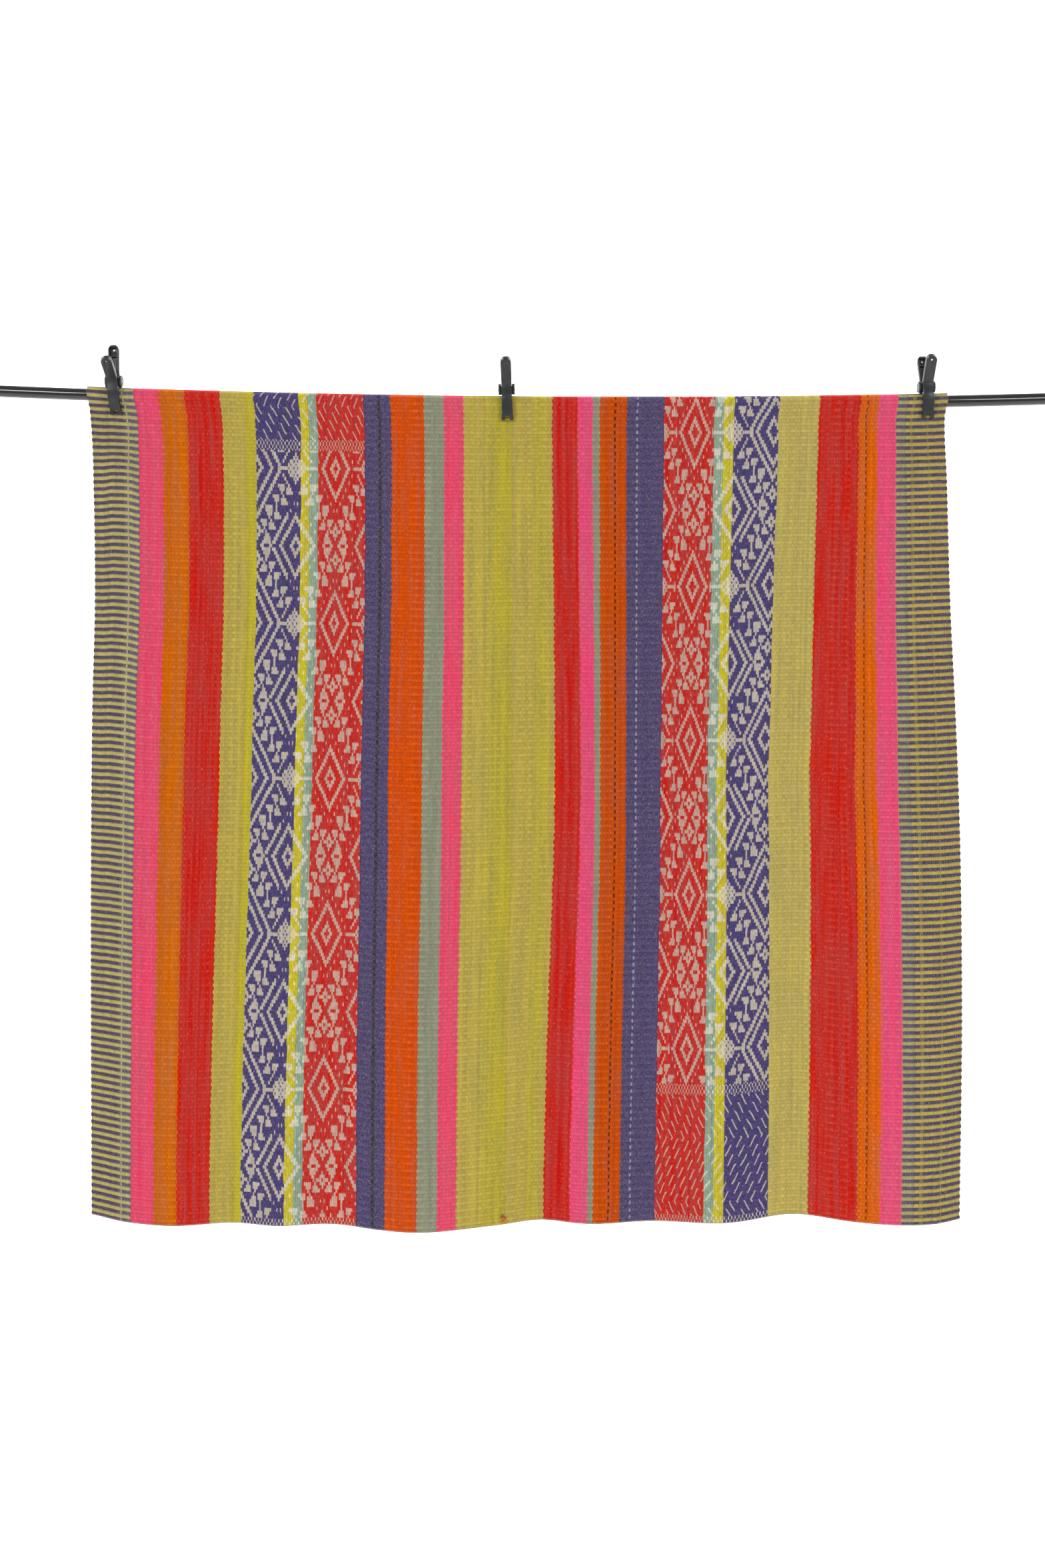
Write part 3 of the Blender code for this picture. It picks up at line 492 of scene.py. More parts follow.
# Hand-spun wool, dyed in the yarn and beaten down hard: matt, with a short fuzz that catches the
# light at the edges, uneven dye along each warp, and painted shade in the dips where a warp goes
# under.
LATTICE_HALF = 22
WEAVE_STEPS = (
    # result, operation, values
    # the floats have round ends, so the line between two rows is toothed
    ("float turn", "MULTIPLY", "across", 2 * math.pi / FLOAT_MM),
    ("float wave", "COSINE", "float turn"),
    ("weft turn", "MULTIPLY", "wefts", math.pi),
    ("weft wave", "COSINE", "weft turn"),
    ("teeth", "MULTIPLY", "float wave", "weft wave"),
    ("tooth", "MULTIPLY", "teeth", 0.11),
    ("ended wefts", "ADD", "wefts", "tooth"),
    ("row", "FLOOR", "ended wefts"),
    ("in row", "FRACT", "ended wefts"),
    ("turned row", "ADD", "row", "back"),
    ("odd", "FLOORED_MODULO", "turned row", 2),
    ("half", "MULTIPLY", "odd", 0.5),
    ("floats", "DIVIDE", "across", FLOAT_MM),
    ("float place", "ADD", "floats", "half"),
    ("float", "FLOOR", "float place"),
    ("in float", "FRACT", "float place"),
    ("row from middle", "MULTIPLY_ADD", "in row", 2, -1),
    ("row size", "ABSOLUTE", "row from middle"),
    ("mid row", "LESS_THAN", "row size", 0.62),
    ("float left", "SUBTRACT", "float", "half"),
    ("float middle", "ADD", "float left", 0.5),
    ("float share", "MULTIPLY", "float middle", "float to share"),
    ("moved", "SUBTRACT", "across", "loom across"),
    ("moved pairs", "DIVIDE", "moved", PAIR_MM),
    ("pairs", "ADD", "loom pairs", "moved pairs"),
    ("pair", "FLOOR", "pairs"),
    ("in pair", "FRACT", "pairs"),
    ("to pair middle", "SUBTRACT", 0.5, "in pair"),
    ("nudge", "MULTIPLY", "to pair middle", PAIR_MM),
    ("pair place", "ADD", "across", "nudge"),
    ("pair share", "MULTIPLY", "pair place", "pair to share"),
    # place in the lattice of diamonds, from the middle of the nearest column and row of them
    ("from pair", "SUBTRACT", "pair", "first pair"),
    ("pair turn", "FLOORED_MODULO", "from pair", 2 * LATTICE_HALF),
    ("pair side", "SUBTRACT", "pair turn", LATTICE_HALF),
    ("pair back", "ABSOLUTE", "pair side"),
    ("side", "SUBTRACT", LATTICE_HALF, "pair back"),
    ("from row", "SUBTRACT", "row", "first row"),
    ("row turn", "FLOORED_MODULO", "from row", 2 * LATTICE_HALF),
    ("row side", "SUBTRACT", "row turn", LATTICE_HALF),
    ("row back", "ABSOLUTE", "row side"),
    ("high", "SUBTRACT", LATTICE_HALF, "row back"),
    ("sum", "ADD", "side", "high"),
    ("other sum", "SUBTRACT", 2 * LATTICE_HALF, "sum"),
    ("radius", "MINIMUM", "sum", "other sum"),
    # two rings round the middle of a diamond, and a row of dots outside them
    ("inner ring", "COMPARE", "radius", "inner radius", 0.7),
    ("outer ring", "COMPARE", "radius", "outer radius", 0.7),
    ("two rings", "MAXIMUM", "inner ring", "outer ring"),
    ("third ring", "COMPARE", "radius", 13.5, 0.7),
    ("past border", "SUBTRACT", "pair", "border pair"),
    ("border way", "MULTIPLY", "past border", "border side"),
    ("at border", "GREATER_THAN", "border way", 0.0),
    ("border ring", "MULTIPLY", "third ring", "at border"),
    ("rings", "MAXIMUM", "two rings", "border ring"),
    ("on dots", "COMPARE", "radius", 13.0, 0.2),
    ("even row", "FLOORED_MODULO", "row", 2),
    ("pair from middle", "MULTIPLY_ADD", "in pair", 2, -1),
    ("pair size", "ABSOLUTE", "pair from middle"),
    ("mid pair", "LESS_THAN", "pair size", 0.6),
    ("even dots", "MULTIPLY", "on dots", "even row"),
    ("dots", "MULTIPLY", "even dots", "mid pair"),
    # chain along the lattice lines: each link is two small triangles, one on each side
    ("link number", "MULTIPLY", "high", 7 / LATTICE_HALF),
    ("link", "ROUND", "link number"),
    ("link rows", "MULTIPLY", "link", LATTICE_HALF / 7),
    ("link row", "ROUND", "link rows"),
    ("row gap", "SUBTRACT", "high", "link row"),
    ("row up", "MINIMUM", "row gap", 1.0),
    ("row step", "MAXIMUM", "row up", -1.0),
    ("link pair", "SUBTRACT", LATTICE_HALF, "link row"),
    ("pair gap", "SUBTRACT", "side", "link pair"),
    ("link way", "SIGN", "pair gap"),
    ("link side", "ABSOLUTE", "pair gap"),
    ("triangle gap", "SUBTRACT", "link side", 2.2),
    ("triangle side", "ABSOLUTE", "triangle gap"),
    ("triangle half", "MULTIPLY_ADD", "link way", "row step", 1.45),
    ("chain", "LESS_THAN", "triangle side", "triangle half"),
    # where lattice lines cross: beside the diamonds a speckled patch with a bar on each side, and
    # above and below them two eyes between two stars
    ("beside", "LESS_THAN", "high", LATTICE_HALF / 2),
    ("to side corner", "SUBTRACT", LATTICE_HALF, "side"),
    ("to top corner", "SUBTRACT", LATTICE_HALF, "high"),
    ("side change", "SUBTRACT", "to side corner", "side"),
    ("corner side", "MULTIPLY_ADD", "side change", "beside", "side"),
    ("high change", "SUBTRACT", "high", "to top corner"),
    ("corner high", "MULTIPLY_ADD", "high change", "beside", "to top corner"),
    ("squeezed side", "MULTIPLY", "corner side", 0.7),
    ("corner sum", "ADD", "squeezed side", "corner high"),
    ("in patch", "LESS_THAN", "corner sum", 4.4),
    ("speck turn", "FLOORED_MODULO", "corner side", 3),
    ("speck row", "FLOORED_MODULO", "corner high", 2),
    ("speck sum", "ADD", "speck turn", "speck row"),
    ("speck place", "COMPARE", "speck sum", 1.0, 0.2),
    ("speck mid", "MULTIPLY", "speck place", "mid row"),
    ("on speck", "MULTIPLY", "speck mid", "mid pair"),
    ("off speck", "SUBTRACT", 1.0, "on speck"),
    ("patch", "MULTIPLY", "in patch", "off speck"),
    ("on bar row", "LESS_THAN", "corner high", 0.5),
    ("on bar", "COMPARE", "corner side", 8.5, 1.6),
    ("bar", "MULTIPLY", "on bar row", "on bar"),
    ("barred", "MAXIMUM", "patch", "bar"),
    ("eye gap", "SUBTRACT", "corner side", 5),
    ("eye side", "ABSOLUTE", "eye gap"),
    ("eye sum", "MULTIPLY_ADD", "eye side", 0.8, "corner high"),
    ("eye", "COMPARE", "eye sum", 2.0, 1.1),
    ("star gap", "SUBTRACT", "corner high", 4),
    ("star high", "ABSOLUTE", "star gap"),
    ("star sum", "MULTIPLY_ADD", "corner side", 0.6, "star high"),
    ("star", "COMPARE", "star sum", 1.3, 0.8),
    ("eyes", "MAXIMUM", "eye", "star"),
    ("crossing change", "SUBTRACT", "barred", "eyes"),
    ("crossing", "MULTIPLY_ADD", "crossing change", "beside", "eyes"),
    ("diamonds", "MAXIMUM", "rings", "dots"),
    ("linked", "MAXIMUM", "diamonds", "chain"),
    ("off crossing", "GREATER_THAN", "corner sum", 6.6),
    ("linked outside", "MULTIPLY", "linked", "off crossing"),
    ("lattice", "MAXIMUM", "linked outside", "crossing"),
    # end section with slanting dashes, and alternate strokes in the last rows at the hem
    ("from bend", "SUBTRACT", "wefts", "bend row"),
    ("zigzag", "PINGPONG", "from bend", "bend rows"),
    ("slant", "ADD", "pairs", "zigzag"),
    ("slant lines", "DIVIDE", "slant", 4),
    ("slant line", "FLOOR", "slant lines"),
    ("slant turn", "FRACT", "slant lines"),
    ("on slant", "LESS_THAN", "slant turn", 0.2),
    ("line turn", "MULTIPLY", "slant line", 2.3),
    ("dash rows", "ADD", "wefts", "line turn"),
    ("dash row", "FLOORED_MODULO", "dash rows", 5),
    ("in dash", "GREATER_THAN", "dash row", 1.9),
    ("dashes", "MULTIPLY", "on slant", "in dash"),
    ("past start", "GREATER_THAN", "wefts", "end start"),
    ("before stop", "LESS_THAN", "wefts", "end stop"),
    ("at end", "MULTIPLY", "past start", "before stop"),
    ("dash change", "SUBTRACT", "dashes", "lattice"),
    ("figure", "MULTIPLY_ADD", "dash change", "at end", "lattice"),
    ("last rows", "GREATER_THAN", "wefts", WEFTS - 2),
    ("first rows", "COMPARE", "wefts", "stroke row", 1.5),
    ("at hem", "MAXIMUM", "last rows", "first rows"),
    ("stroke place", "ADD", "pair", "row"),
    ("odd stroke", "FLOORED_MODULO", "stroke place", 2),
    ("strokes", "MULTIPLY", "odd stroke", "mid pair"),
    ("stroke change", "SUBTRACT", "strokes", "figure"),
    ("front cream", "MULTIPLY_ADD", "stroke change", "at hem", "figure"),
    ("shown gap", "SUBTRACT", "front cream", "back"),
    ("cream", "ABSOLUTE", "shown gap"),
    # roundness of the yarn: across a float and along it, in plain cloth and in the pattern
    # the roundness drives the bump, and also the colour's painted shade in the dips between floats
    # and rows
    ("float from middle", "MULTIPLY_ADD", "in float", 2, -1),
    ("float square", "POWER", "float from middle", 2),
    ("row drop", "POWER", "row size", 3),
    ("float round", "SUBTRACT", 1, "float square"),
    ("row round", "SUBTRACT", 1, "row drop"),
    ("plain height", "MULTIPLY", "float round", "row round"),
    ("pair square", "POWER", "pair from middle", 2),
    ("pair round", "SUBTRACT", 1, "pair square"),
    ("tie place", "ADD", "wefts", "pair"),
    ("tie turn", "DIVIDE", "tie place", 4),
    ("tie part", "FRACT", "tie turn"),
    ("tie from middle", "MULTIPLY_ADD", "tie part", 2, -1),
    ("tie size", "ABSOLUTE", "tie from middle"),
    ("tie drop", "POWER", "tie size", 7),
    ("tie round", "SUBTRACT", 1, "tie drop"),
    ("pattern height", "MULTIPLY", "pair round", "tie round"),
)


SHADE_STEPS = (
    # result, operation, values
    # tone from the warp's dye, the float's, a slow drift and the fuzz; painted shade where the yarn
    # dips
    ("from warp", "MULTIPLY_ADD", "warp", 0.15, 0.295),
    ("from spot", "MULTIPLY_ADD", "spot", 0.14, "from warp"),
    ("from drift", "MULTIPLY_ADD", "drift", 0.40, "from spot"),
    ("from fuzz", "MULTIPLY_ADD", "fuzz", 0.30, "from drift"),
    ("tone and painted shade", "MULTIPLY_ADD", "height", 0.28, "from fuzz"),
    # share of pale fibres: undyed ones spun in, a few whole pale flecks, and lint
    ("fibres", "POWER", "fuzz", 2.0),
    ("fine fibres", "POWER", "fleck", 3.0),
    ("all fibres", "ADD", "fibres", "fine fibres"),
    ("fibre share", "MULTIPLY", "all fibres", 0.85),
    ("pale", "GREATER_THAN", "fleck", 0.993),
    ("rare part", "MULTIPLY", "pale", 0.16),
    ("pale part", "MULTIPLY_ADD", "fibre share", "heather", "rare part"),
    ("lint", "MULTIPLY_ADD", "fuzz", 0.04, -0.02),
    ("lint part", "MAXIMUM", "lint", 0.0),
    ("lightened", "ADD", "pale part", "lint part"),
)


def add_steps(tree, steps, known):
    """Adds a math node for each step. Its values are numbers or names of known results."""
    for result, operation, *values in steps:
        inputs = {index: known.get(value, value) for index, value in enumerate(values)}
        known[result] = add_node(tree, "ShaderNodeMath", inputs, operation=operation)


def dye_stops(stripes, accents, count):
    """Stops of (place in mm, dye) for one set of warps; accents lie on top of the stripes."""
    stops = []
    start = 0.0
    for stripe in stripes:
        stops.append((start, stripe[4 + count]))
        start += stripe[1]
    for place, width, *dyes in accents:
        under = max(stop for stop in stops if stop[0] <= place + width)
        stops = [stop for stop in stops if not place <= stop[0] <= place + width]
        stops += [(place, dyes[count]), (place + width, under[1])]
    return sorted(stops)


def add_ramp(tree, share, stops, total):
    """A ramp without blending between its stops."""
    ramp = add_node(tree, "ShaderNodeValToRGB", {"Fac": share})
    ramp.color_ramp.interpolation = "CONSTANT"
    for index, (place, dye) in enumerate(stops):
        if index < 2:
            element = ramp.color_ramp.elements[index]
            element.position = place / total
        else:
            element = ramp.color_ramp.elements.new(place / total)
        element.color = color(dye) if isinstance(dye, str) else (dye, dye, dye, 1.0)
    return ramp


def weave_material(
    name, stripes, accents, pattern_accents, cell, radii, border_side, bend, end_rows, stroke_row
):
    """Wool cloth whose threads follow the Thread map: millimetres across, and wefts along.

    The cell is the place in mm and the row of one diamond's middle, the radii are its rings', and
    the border side tells where a third ring runs. Bend and end rows place the section of dashes,
    and the stroke row starts it with a row of strokes.
    """
    cell_mm, cell_row = cell
    first_pair = round(float(pairs_at(stripes, cell_mm)))
    material, tree, shader = new_material(
        name,
        {
            "Roughness": 0.92, "IOR": 1.5, "Specular IOR Level": 0.05, "Sheen Weight": 0.015,
            "Sheen Roughness": 0.55,
        },
    )
    total = sum(stripe[1] for stripe in stripes)
    loom = add_node(tree, "ShaderNodeUVMap", uv_map="Thread")
    # the threads wander a little from their places
    wander_place = add_node(tree, "ShaderNodeMapping", {"Vector": loom, "Scale": (0.11, 0.16, 1.0)})
    wander = add_node(
        tree, "ShaderNodeTexNoise", {"Vector": wander_place, "Scale": 1.0, "Detail": 3.0},
        noise_dimensions="2D",
    ).outputs["Color"]
    centred = add_node(
        tree, "ShaderNodeVectorMath", {0: wander, 1: (0.5, 0.5, 0.5)}, operation="SUBTRACT"
    )
    thread = add_node(
        tree, "ShaderNodeVectorMath", {0: centred, 1: (3.0, 0.2, 0.0), 2: loom},
        operation="MULTIPLY_ADD",
    )
    axes = add_node(tree, "ShaderNodeSeparateXYZ", {0: thread})
    loom_axes = add_node(tree, "ShaderNodeSeparateXYZ", {0: loom})
    known = {
        "across": axes.outputs["X"],
        "wefts": axes.outputs["Y"],
        "back": add_node(tree, "ShaderNodeAttribute", attribute_name="Back").outputs["Fac"],
        "float to share": FLOAT_MM / total,
        "pair to share": 1 / total,
        "loom across": loom_axes.outputs["X"],
        "loom pairs": add_node(tree, "ShaderNodeAttribute", attribute_name="Pairs").outputs["Fac"],
        "first pair": first_pair,
        "border pair": first_pair + border_side * (2 * LATTICE_HALF - 18),
        "border side": border_side,
        "inner radius": radii[0],
        "outer radius": radii[1],
        "first row": cell_row,
        "bend row": bend[0],
        "bend rows": bend[1],
        "end start": end_rows[0],
        "end stop": end_rows[1],
        "stroke row": stroke_row,
    }
    add_steps(tree, WEAVE_STEPS, known)
    even = add_ramp(tree, known["float share"], dye_stops(stripes, accents, 0), total)
    odd = add_ramp(tree, known["float share"], dye_stops(stripes, accents, 1), total)
    dyed = add_ramp(tree, known["pair share"], dye_stops(stripes, pattern_accents, 0), total)
    cream = add_ramp(tree, known["pair share"], dye_stops(stripes, (), 1), total)
    bands = []
    undyed = []
    start = 0.0
    for stripe in stripes:
        bands.append((start, 1.0 if stripe[0].startswith("pattern") else 0.0))
        undyed.append((start, stripe[6]))
        start += stripe[1]
    in_band = add_ramp(tree, known["float share"], bands, total)
    heather = add_ramp(tree, known["float share"], undyed, total)
    plain = add_node(
        tree, "ShaderNodeMix", {0: known["odd"], 6: even, 7: odd}, data_type="RGBA"
    ).outputs[2]
    figured = add_node(
        tree, "ShaderNodeMix", {0: known["cream"], 6: dyed, 7: cream}, data_type="RGBA"
    ).outputs[2]
    dye = add_node(
        tree, "ShaderNodeMix", {0: in_band, 6: plain, 7: figured}, data_type="RGBA"
    ).outputs[2]
    height = add_node(
        tree, "ShaderNodeMix", {0: in_band, 2: known["plain height"], 3: known["pattern height"]}
    )
    # uneven dye: each warp has its own shade, which drifts along it, and a few fibres stay pale
    shade = {"heather": heather, "height": height}
    warp_place = add_node(tree, "ShaderNodeCombineXYZ", {0: known["float middle"], 1: known["odd"]})
    spot_place = add_node(tree, "ShaderNodeCombineXYZ", {0: known["float middle"], 1: known["row"]})
    fleck_place = add_node(
        tree, "ShaderNodeVectorMath", {0: thread, 1: (1.0, 0.25, 1.0)}, operation="SNAP"
    )
    for result, place in (("warp", warp_place), ("spot", spot_place), ("fleck", fleck_place)):
        shade[result] = add_node(
            tree, "ShaderNodeTexWhiteNoise", {"Vector": place}, noise_dimensions="2D"
        )
    for result, scale, detail in (
        ("drift", (0.14, 0.035, 1.0), 3.0),
        ("fuzz", (1.6, 1.1, 1.0), 4.0),
        ("strands", (2.2, 3.0, 1.0), 3.0),
    ):
        place = add_node(tree, "ShaderNodeMapping", {"Vector": thread, "Scale": scale})
        shade[result] = add_node(
            tree, "ShaderNodeTexNoise", {"Vector": place, "Scale": 1.0, "Detail": detail},
            noise_dimensions="2D",
        )
    add_steps(tree, SHADE_STEPS, shade)
    hue = add_node(
        tree, "ShaderNodeMapRange", {"Value": shade["warp"], "To Min": 0.497, "To Max": 0.503}
    )
    strength = add_node(
        tree, "ShaderNodeMapRange", {"Value": shade["drift"], "From Min": 0.3, "From Max": 0.7,
                                     "To Min": 0.96, "To Max": 1.03},
    )
    dye = add_node(
        tree, "ShaderNodeHueSaturation", {"Hue": hue, "Saturation": strength, "Color": dye}
    )
    # the dye times its random tone and the painted shade of the yarn's dips
    shaded = add_node(
        tree, "ShaderNodeVectorMath", {0: dye, "Scale": shade["tone and painted shade"]}, operation="SCALE"
    )
    wool = add_node(
        tree, "ShaderNodeMix", {0: shade["lightened"], 6: shaded, 7: color("#E4D9CF")},
        data_type="RGBA",
    )
    # the last weft at the hem is a thicker, undyed cord that shows between the warps
    # its grey-beige also paints in the shade along the hem's edge
    at_cord = add_node(
        tree, "ShaderNodeMath", {0: known["wefts"], 1: WEFTS - 0.4}, operation="GREATER_THAN"
    )
    cord_and_shade_share = add_node(tree, "ShaderNodeMath", {0: at_cord, 1: 0.55}, operation="MULTIPLY")
    cord_and_painted_shade = add_node(
        tree, "ShaderNodeMix", {0: cord_and_shade_share, 6: wool.outputs[2], 7: color("#9C8C80")},
        data_type="RGBA",
    )
    tree.links.new(cord_and_painted_shade.outputs[2], shader.inputs["Base Color"])
    fibre_bump = add_node(
        tree, "ShaderNodeBump", {"Height": shade["strands"], "Strength": 0.5, "Distance": 0.0004}
    )
    yarn_bump = add_node(
        tree, "ShaderNodeBump",
        {"Height": height, "Strength": 0.8, "Distance": 0.0006, "Normal": fibre_bump},
    )
    tree.links.new(yarn_bump.outputs[0], shader.inputs["Normal"])
    return material


LEFT_PATTERN_ACCENTS = (
    # start in mm, width in mm, dyes of the two sets of warps: a dark, cabled warp
    (307.0, 4.0, "#34314C", "#C4BCB2"),
)
left_wool = weave_material(
    "hand-spun wool, left loom width", LEFT_STRIPES, LEFT_ACCENTS, LEFT_PATTERN_ACCENTS,
    cell=(384.8, 39), radii=(2.5, 8.5), border_side=-1, bend=(-8, 30), end_rows=(-1, 32.3),
    stroke_row=33,
)
right_wool = weave_material(
    "hand-spun wool, right loom width", RIGHT_STRIPES, RIGHT_ACCENTS, (),
    cell=(288.9, 28), radii=(3.5, 9.5), border_side=1, bend=(230, 18), end_rows=(216, 300),
    stroke_row=216,
)
half_gap = SEAM_GAP / 2
left_panel = make_panel(
    "cloth_left", LEFT_STRIPES, (LEFT_EDGE, 0.0), (SEAM, -half_gap), left_wool
)
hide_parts("panel_left")
right_panel = make_panel(
    "cloth_right", RIGHT_STRIPES, (SEAM, half_gap), (RIGHT_EDGE, 0.0), right_wool
)
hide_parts("panel_right")


# Seam: the two panels are whipped edge to edge with one long yarn that runs over both selvedges.
# It starts behind the rod and ends in a small orange knot at the lower hem.
STITCH_PITCH = 0.0112
STITCH_REACH = 0.0021
STITCH_DEPTH = 0.00175
STITCH_YARN = 0.00042
STEPS_PER_STITCH = 8


def add_yarn(shell, places, radius, sides=6):
    """A round yarn along its places, closed at both ends."""
    rings = []
    for index, spot in enumerate(places):
        way = Vector(places[min(index + 1, len(places) - 1)]) - Vector(places[max(index - 1, 0)])
        turn = way.to_track_quat("Z", "Y").to_matrix().to_4x4()
        matrix = Matrix.Translation(Vector(spot)) @ turn
        circle = bmesh.ops.create_circle(shell, segments=sides, radius=radius, matrix=matrix)
        rings.append(list({edge for vert in circle["verts"] for edge in vert.link_edges}))
        if index:
            bmesh.ops.bridge_loops(shell, edges=[*rings[-2], *rings[-1]])
    for ring in (rings[0], rings[-1]):
        bmesh.ops.contextual_create(shell, geom=ring)


def finish_yarn(name, shell, material):
    """The piece made of the yarns in a shell."""
    bmesh.ops.recalc_face_normals(shell, faces=shell.faces)
    return add_piece(name, finish_mesh(name, shell), material)


def yarn_material(name, dark, light):
    """Wool yarn: matt, with the twist drawn as slanting streaks 1.5 mm apart, grooves in painted
    shade.
    """
    material, tree, shader = new_material(
        name, {"Roughness": 0.9, "IOR": 1.5, "Specular IOR Level": 0.25, "Sheen Weight": 0.15}
    )
    place = add_node(tree, "ShaderNodeTexCoord").outputs["Object"]
    slant = add_node(tree, "ShaderNodeMapping", {"Vector": place, "Rotation": (0.4, 0.6, 0.5)})
    twist = add_node(tree, "ShaderNodeTexWave", {"Vector": slant, "Scale": 210.0, "Distortion": 2.0})
    spread = add_node(tree, "ShaderNodeTexNoise", {"Vector": place, "Scale": 160.0, "Detail": 3.0})
    share = add_node(
        tree, "ShaderNodeMath", {0: twist.outputs["Fac"], 1: spread}, operation="MULTIPLY"
    )
    # lighter where the twist stands up and darker in its grooves: painted shade, broken up by random
    # tone
    dye = add_node(
        tree, "ShaderNodeMix", {0: share, 6: color(dark), 7: color(light)}, data_type="RGBA"
    )
    tree.links.new(dye.outputs[2], shader.inputs["Base Color"])
    bump = add_node(
        tree, "ShaderNodeBump", {"Height": twist.outputs["Fac"], "Strength": 0.5, "Distance": 0.0002}
    )
    tree.links.new(bump.outputs[0], shader.inputs["Normal"])
    return material


def seam_at(drop):
    """Place of the seam across the cloth, at a drop below the rod."""
    return read_table(SIDE_LINES, SEAM, drop)


seam_path = warp_path(seam_at(0.0), seam_at)
seam_length = np.linalg.norm(np.diff(seam_path, axis=0), axis=1).sum()
stitches = int(seam_length / STITCH_PITCH)
shares = np.linspace(0.002, 0.998, stitches * STEPS_PER_STITCH)
middle = along_path(seam_path, shares)
way = np.gradient(middle, axis=0)
outward = np.cross(way, (1.0, 0.0, 0.0))
outward /= np.linalg.norm(outward, axis=1, keepdims=True)
turn = 2 * np.pi * np.arange(len(shares)) / STEPS_PER_STITCH
whipped = middle + outward * (STITCH_DEPTH * np.cos(turn))[:, None]
whipped[:, 0] += STITCH_REACH * np.sin(turn)
seam_wool = yarn_material("two-ply wool sewing yarn, dyed yellow-green", "#A3952F", "#C4B24A")
shell = bmesh.new()
add_yarn(shell, whipped, STITCH_YARN)
finish_yarn("seam_yarn", shell, seam_wool)

KNOT_SIZE = 0.0014
KNOT_YARN = 0.0013
KNOT_OUT = 0.0026
KNOT_SHIFT = (-0.001, 0.0, 0.0050)
TAIL_STEP = 0.0013
TAIL_YARN = 0.0011
knot_wool = yarn_material("two-ply wool yarn, dyed orange", "#B86A0C", "#EFA428")
shell = bmesh.new()
knot_place = middle[-1] + outward[-1] * KNOT_OUT + np.array(KNOT_SHIFT)
wound = np.linspace(0.0, 2 * np.pi, 40)
knot = KNOT_SIZE * np.stack(
    [
        np.sin(wound) + 2 * np.sin(2 * wound),
        -np.sin(3 * wound),
        np.cos(wound) - 2 * np.cos(2 * wound),
    ],
    axis=1,
)
add_yarn(shell, knot_place + knot, KNOT_YARN, 7)
finish_yarn("seam_knot", shell, knot_wool)

tail_wool = yarn_material("single-ply wool weft, dyed blue", "#5A5470", "#A8A2B4")
shell = bmesh.new()
tail = [(0.0, 0.0, 2.0), (0.6, -1.2, 4.2), (-0.6, -1.6, 5.6), (-1.8, -1.2, 5.2), (-2.4, -0.6, 3.8)]
add_yarn(shell, [knot_place + np.array(step) * TAIL_STEP for step in tail], TAIL_YARN)
finish_yarn("knot_tail", shell, tail_wool)

# Bits of yellow yarn that were drawn through the cloth near the seam, as a mend and as marks
# beside the hem.
MEND_YARN = 0.0004
MEND_SUNK = 0.0008
MENDS = (
    # drop, steps of (across, up) in mm from the origin's line
    (1.183, ((-1.0, 2.2), (2.5, 1.2), (6.5, 2.0), (10.0, 3.6), (12.5, 4.2))),
    (1.190, ((-10.0, 0.6), (-7.5, -0.6), (-4.5, -1.0))),
    (1.289, ((1.0, 0.5), (1.6, 3.6))),
    (1.288, ((6.5, 0.5), (7.5, 4.2))),
    (1.287, ((11.5, 1.0), (12.2, 4.6), (11.8, 6.2))),
    (1.284, ((-22.0, 8.0), (-20.4, 10.5), (-21.0, 13.5))),
)
mend_wool = yarn_material("single-ply wool mending yarn, dyed yellow", "#A8981C", "#D2BE3A")
shell = bmesh.new()
for drop, steps in MENDS:
    places = []
    for index, (across, up) in enumerate(steps):
        sunk = MEND_SUNK if index in (0, len(steps) - 1) else 0.0
        x, z = across / 1000, up / 1000 - drop
        front = -DRAPE_RADIUS - fold_depth(x, -z) - CLOTH_THICK / 2
        places.append((x, front - MEND_YARN + sunk, z))
    add_yarn(shell, places, MEND_YARN)
finish_yarn("mends", shell, mend_wool)


# Loose ends: where a weft was joined at the right selvedge, two short fuzzy ends stand out.
LOOSE_YARN = 0.00042
LOOSE_RISE = 0.0004
LOOSE_ENDS = (
    # drop, steps of (out, up) in mm
    (0.574, ((-2.0, 0.0), (0.6, -1.0), (1.8, -3.2), (2.2, -6.0), (1.6, -9.0), (1.0, -11.0))),
    (0.610, ((-2.0, 0.0), (0.8, 0.6), (2.0, -1.4), (3.2, -3.4), (4.6, -4.6), (5.4, -4.0))),
)
shell = bmesh.new()
for drop, steps in LOOSE_ENDS:
    edge = read_table(SIDE_LINES, RIGHT_EDGE, drop)
    depth = -DRAPE_RADIUS - fold_depth(edge, drop)
    ends = [(edge + out / 1000, depth - LOOSE_RISE * index, up / 1000 - drop)
            for index, (out, up) in enumerate(steps)]
    add_yarn(shell, ends, LOOSE_YARN)
finish_yarn("loose_ends", shell, tail_wool)


# Clamps: three spring clamps of black glass-filled nylon with a steel pin and a torsion spring.
# Each lever is one moulding: a jaw with a notched tip, a hub, and a handle that is hollow inside.
LEVER_ROUND = 0.0007
MERGE_WITHIN = 0.00003
nylon, tree, shader = new_material(
    "satin black moulded nylon", {"Base Color": color("#15171B"), "Roughness": 0.42, "IOR": 1.53}
)
